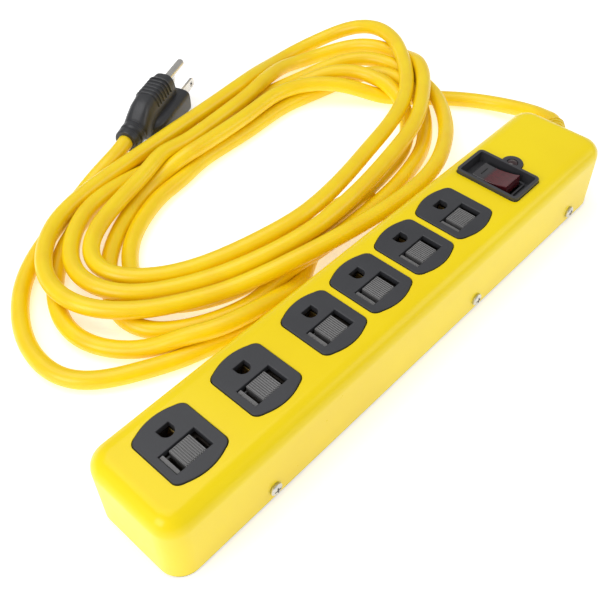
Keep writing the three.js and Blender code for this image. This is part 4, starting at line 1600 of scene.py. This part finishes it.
    def build(self, finishes: Finishes, on_it: Sequence[bpy.types.Object]) -> bpy.types.Object:
        """Builds the cord as a curve with a round section.

        Args:
            finishes: The finishes.
            on_it: The separate pieces at its ends. Not used.

        Returns:
            The cord.
        """
        points = self.settled() * MM
        curve = bpy.data.curves.new("supply_cord", "CURVE")
        curve.dimensions = "3D"
        curve.bevel_depth = self.diameter / 2 * MM
        curve.bevel_resolution = 6
        curve.use_fill_caps = True
        curve.twist_mode = "MINIMUM"
        spline = curve.splines.new("POLY")
        spline.points.add(len(points) - 1)
        spline.points.foreach_set("co", np.column_stack([points, np.ones(len(points))]).ravel())
        spline.use_smooth = True
        cord = bpy.data.objects.new("supply_cord", curve)
        bpy.context.scene.collection.objects.link(cord)
        curve.materials.append(finishes.jacket)
        declare(cord, Body.ROOT.value, ["cord_lead", "cord_coil", "cord_tail"])
        length = float(np.linalg.norm(np.diff(points, axis=0), axis=1).sum())
        log.info("cord %.3f m", length)
        return cord

    def build_relief(self, finishes: Finishes) -> bpy.types.Object:
        """Builds the tapered sleeve where the cord leaves, bent with it and ringed with grooves.

        Args:
            finishes: The finishes.

        Returns:
            The sleeve.
        """
        profile = [
            (-9.0, 5.9), (-4.6, 6.0), (-4.2, 8.2), (-3.3, 8.2), (-2.9, 6.5), (0.0, 6.5), (0.2, 8.6),
            (0.6, 9.0)
        ]
        profile += [(2.6, 9.0), (3.1, 8.6)]
        start, end = 4.2, self.relief_length - 1.2
        pitch = (end - start) / self.relief_rings
        for i in range(self.relief_rings):
            for share, dip in ((0.0, 0.0), (0.12, 0.0), (0.55, 0.0), (0.66, 0.75), (0.88, 0.75)):
                along = start + (i + share) * pitch
                taper = 7.5 - 2.2 * (along - start) / (end - start)
                profile.append((along, taper - dip))
        profile += [(end, 5.3), (self.relief_length, 4.7)]
        rings = []
        sides = 36
        for along, radius in profile:
            bend = max(along - 3.0, 0.0) / self.relief_bend
            x = self.wall_x + min(along, 3.0) + self.relief_bend * math.sin(bend)
            y = EXIT_Y + self.relief_bend * (1 - math.cos(bend))
            ring = []
            for i in range(sides):
                a = 2 * math.pi * i / sides
                across, up = radius * math.cos(a), radius * math.sin(a)
                ring.append((x - across * math.sin(bend), y + across * math.cos(bend), EXIT_Z + up))
            rings.append(ring)
        sleeve = Solid.loft("cord_relief", rings).smooth(32.0)
        return sleeve.finish(finishes.relief, Body.ROOT.value, "relief_plastic", ["strain_relief"])


# ---------------------------------------------------------------- studio


@dataclass(frozen=True)
class Softbox:
    """A square area light that looks at a point."""

    name: str
    place: Point3
    target: Point3
    size: float
    power: float

    def make(self) -> None:
        """Adds the light."""
        data = bpy.data.lights.new(self.name, "AREA")
        data.shape = "SQUARE"
        data.size = self.size
        data.energy = self.power
        light = bpy.data.objects.new(self.name, data)
        light.location = self.place
        aim = Vector(self.target) - Vector(self.place)
        light.rotation_euler = aim.to_track_quat("-Z", "Y").to_euler()
        bpy.context.scene.collection.objects.link(light)


@dataclass
class Studio:
    """A pale floor, soft light and the camera."""

    lens: float = 50.42
    floor_half: float = 6.0
    sky: float = 0.45
    floor_glow: float = 0.42
    boxes: tuple[Softbox, ...] = (
        Softbox("overhead_box", (-0.1, 0.5, 1.6), (0.0, 0.08, 0.0), 1.4, 11.0),
        Softbox("side_box", (1.1, -1.2, 0.85), (0.0, 0.05, 0.0), 0.8, 4.0),
        Softbox("end_box", (-1.4, 0.1, 0.7), (0.0, 0.05, 0.0), 0.8, 8.0),
    )

    def place_camera(self) -> None:
        """Adds the camera and makes it the scene's."""
        data = bpy.data.cameras.new("studio_camera")
        data.lens = self.lens
        data.sensor_width = 36.0
        data.clip_start = 0.01
        camera = bpy.data.objects.new("studio_camera", data)
        camera.matrix_world = Matrix((
            (0.68057, 0.54753, -0.48686, -0.20880),
            (-0.73255, 0.49610, -0.46610, -0.14829),
            (-0.01367, 0.67387, 0.73873, 0.29811),
            (0.0, 0.0, 0.0, 1.0),
        ))
        bpy.context.scene.collection.objects.link(camera)
        bpy.context.scene.camera = camera

    def lay_floor(self) -> None:
        """Adds the floor, which glows a little so that shadows stay light."""
        half = self.floor_half
        mesh = bpy.data.meshes.new("floor")
        mesh.from_pydata(
            [(-half, -half, 0), (half, -half, 0), (half, half, 0), (-half, half, 0)], [],
            [(0, 1, 2, 3)]
        )
        floor = bpy.data.objects.new("floor", mesh)
        bpy.context.scene.collection.objects.link(floor)
        graph = NodeGraph("floor_paper")
        graph.shade(
            Base_Color=(0.93, 0.93, 0.93), Roughness=0.9, Emission_Color=(1.0, 1.0, 1.0),
            Emission_Strength=self.floor_glow
        )
        mesh.materials.append(graph.material)

    def light(self) -> None:
        """Adds the sky's even light and the softboxes."""
        bpy.context.scene.view_settings.view_transform = "Standard"
        world = bpy.data.worlds.new("studio_sky")
        bpy.context.scene.world = world
        world.use_nodes = True
        back = world.node_tree.nodes["Background"]
        back.inputs["Color"].default_value = (1.0, 1.0, 1.0, 1.0)
        back.inputs["Strength"].default_value = self.sky
        for box in self.boxes:
            box.make()

    def build(self) -> None:
        """Sets the studio up."""
        self.place_camera()
        self.lay_floor()
        self.light()


def main() -> None:
    """Builds the strip, piece by piece."""
    logging.basicConfig(level=logging.INFO, format="%(name)s: %(message)s")
    Studio().build()
    finishes, repeater = Finishes(), Repeater()
    cord, plug = Cord(), Plug()
    relief = cord.build_relief(finishes)
    plug_pieces = plug.build(finishes, repeater)
    cord.build(finishes, [*plug_pieces, relief])
    outlets, switch, shell = Outlets(), Switch(), Shell()
    shell.build(finishes, outlets, switch)
    shell.build_screws(finishes, repeater)
    outlets.build(finishes, repeater)
    switch.build(finishes)
    finishes.dress_carried_over()


if __name__ == "__main__":
    main()
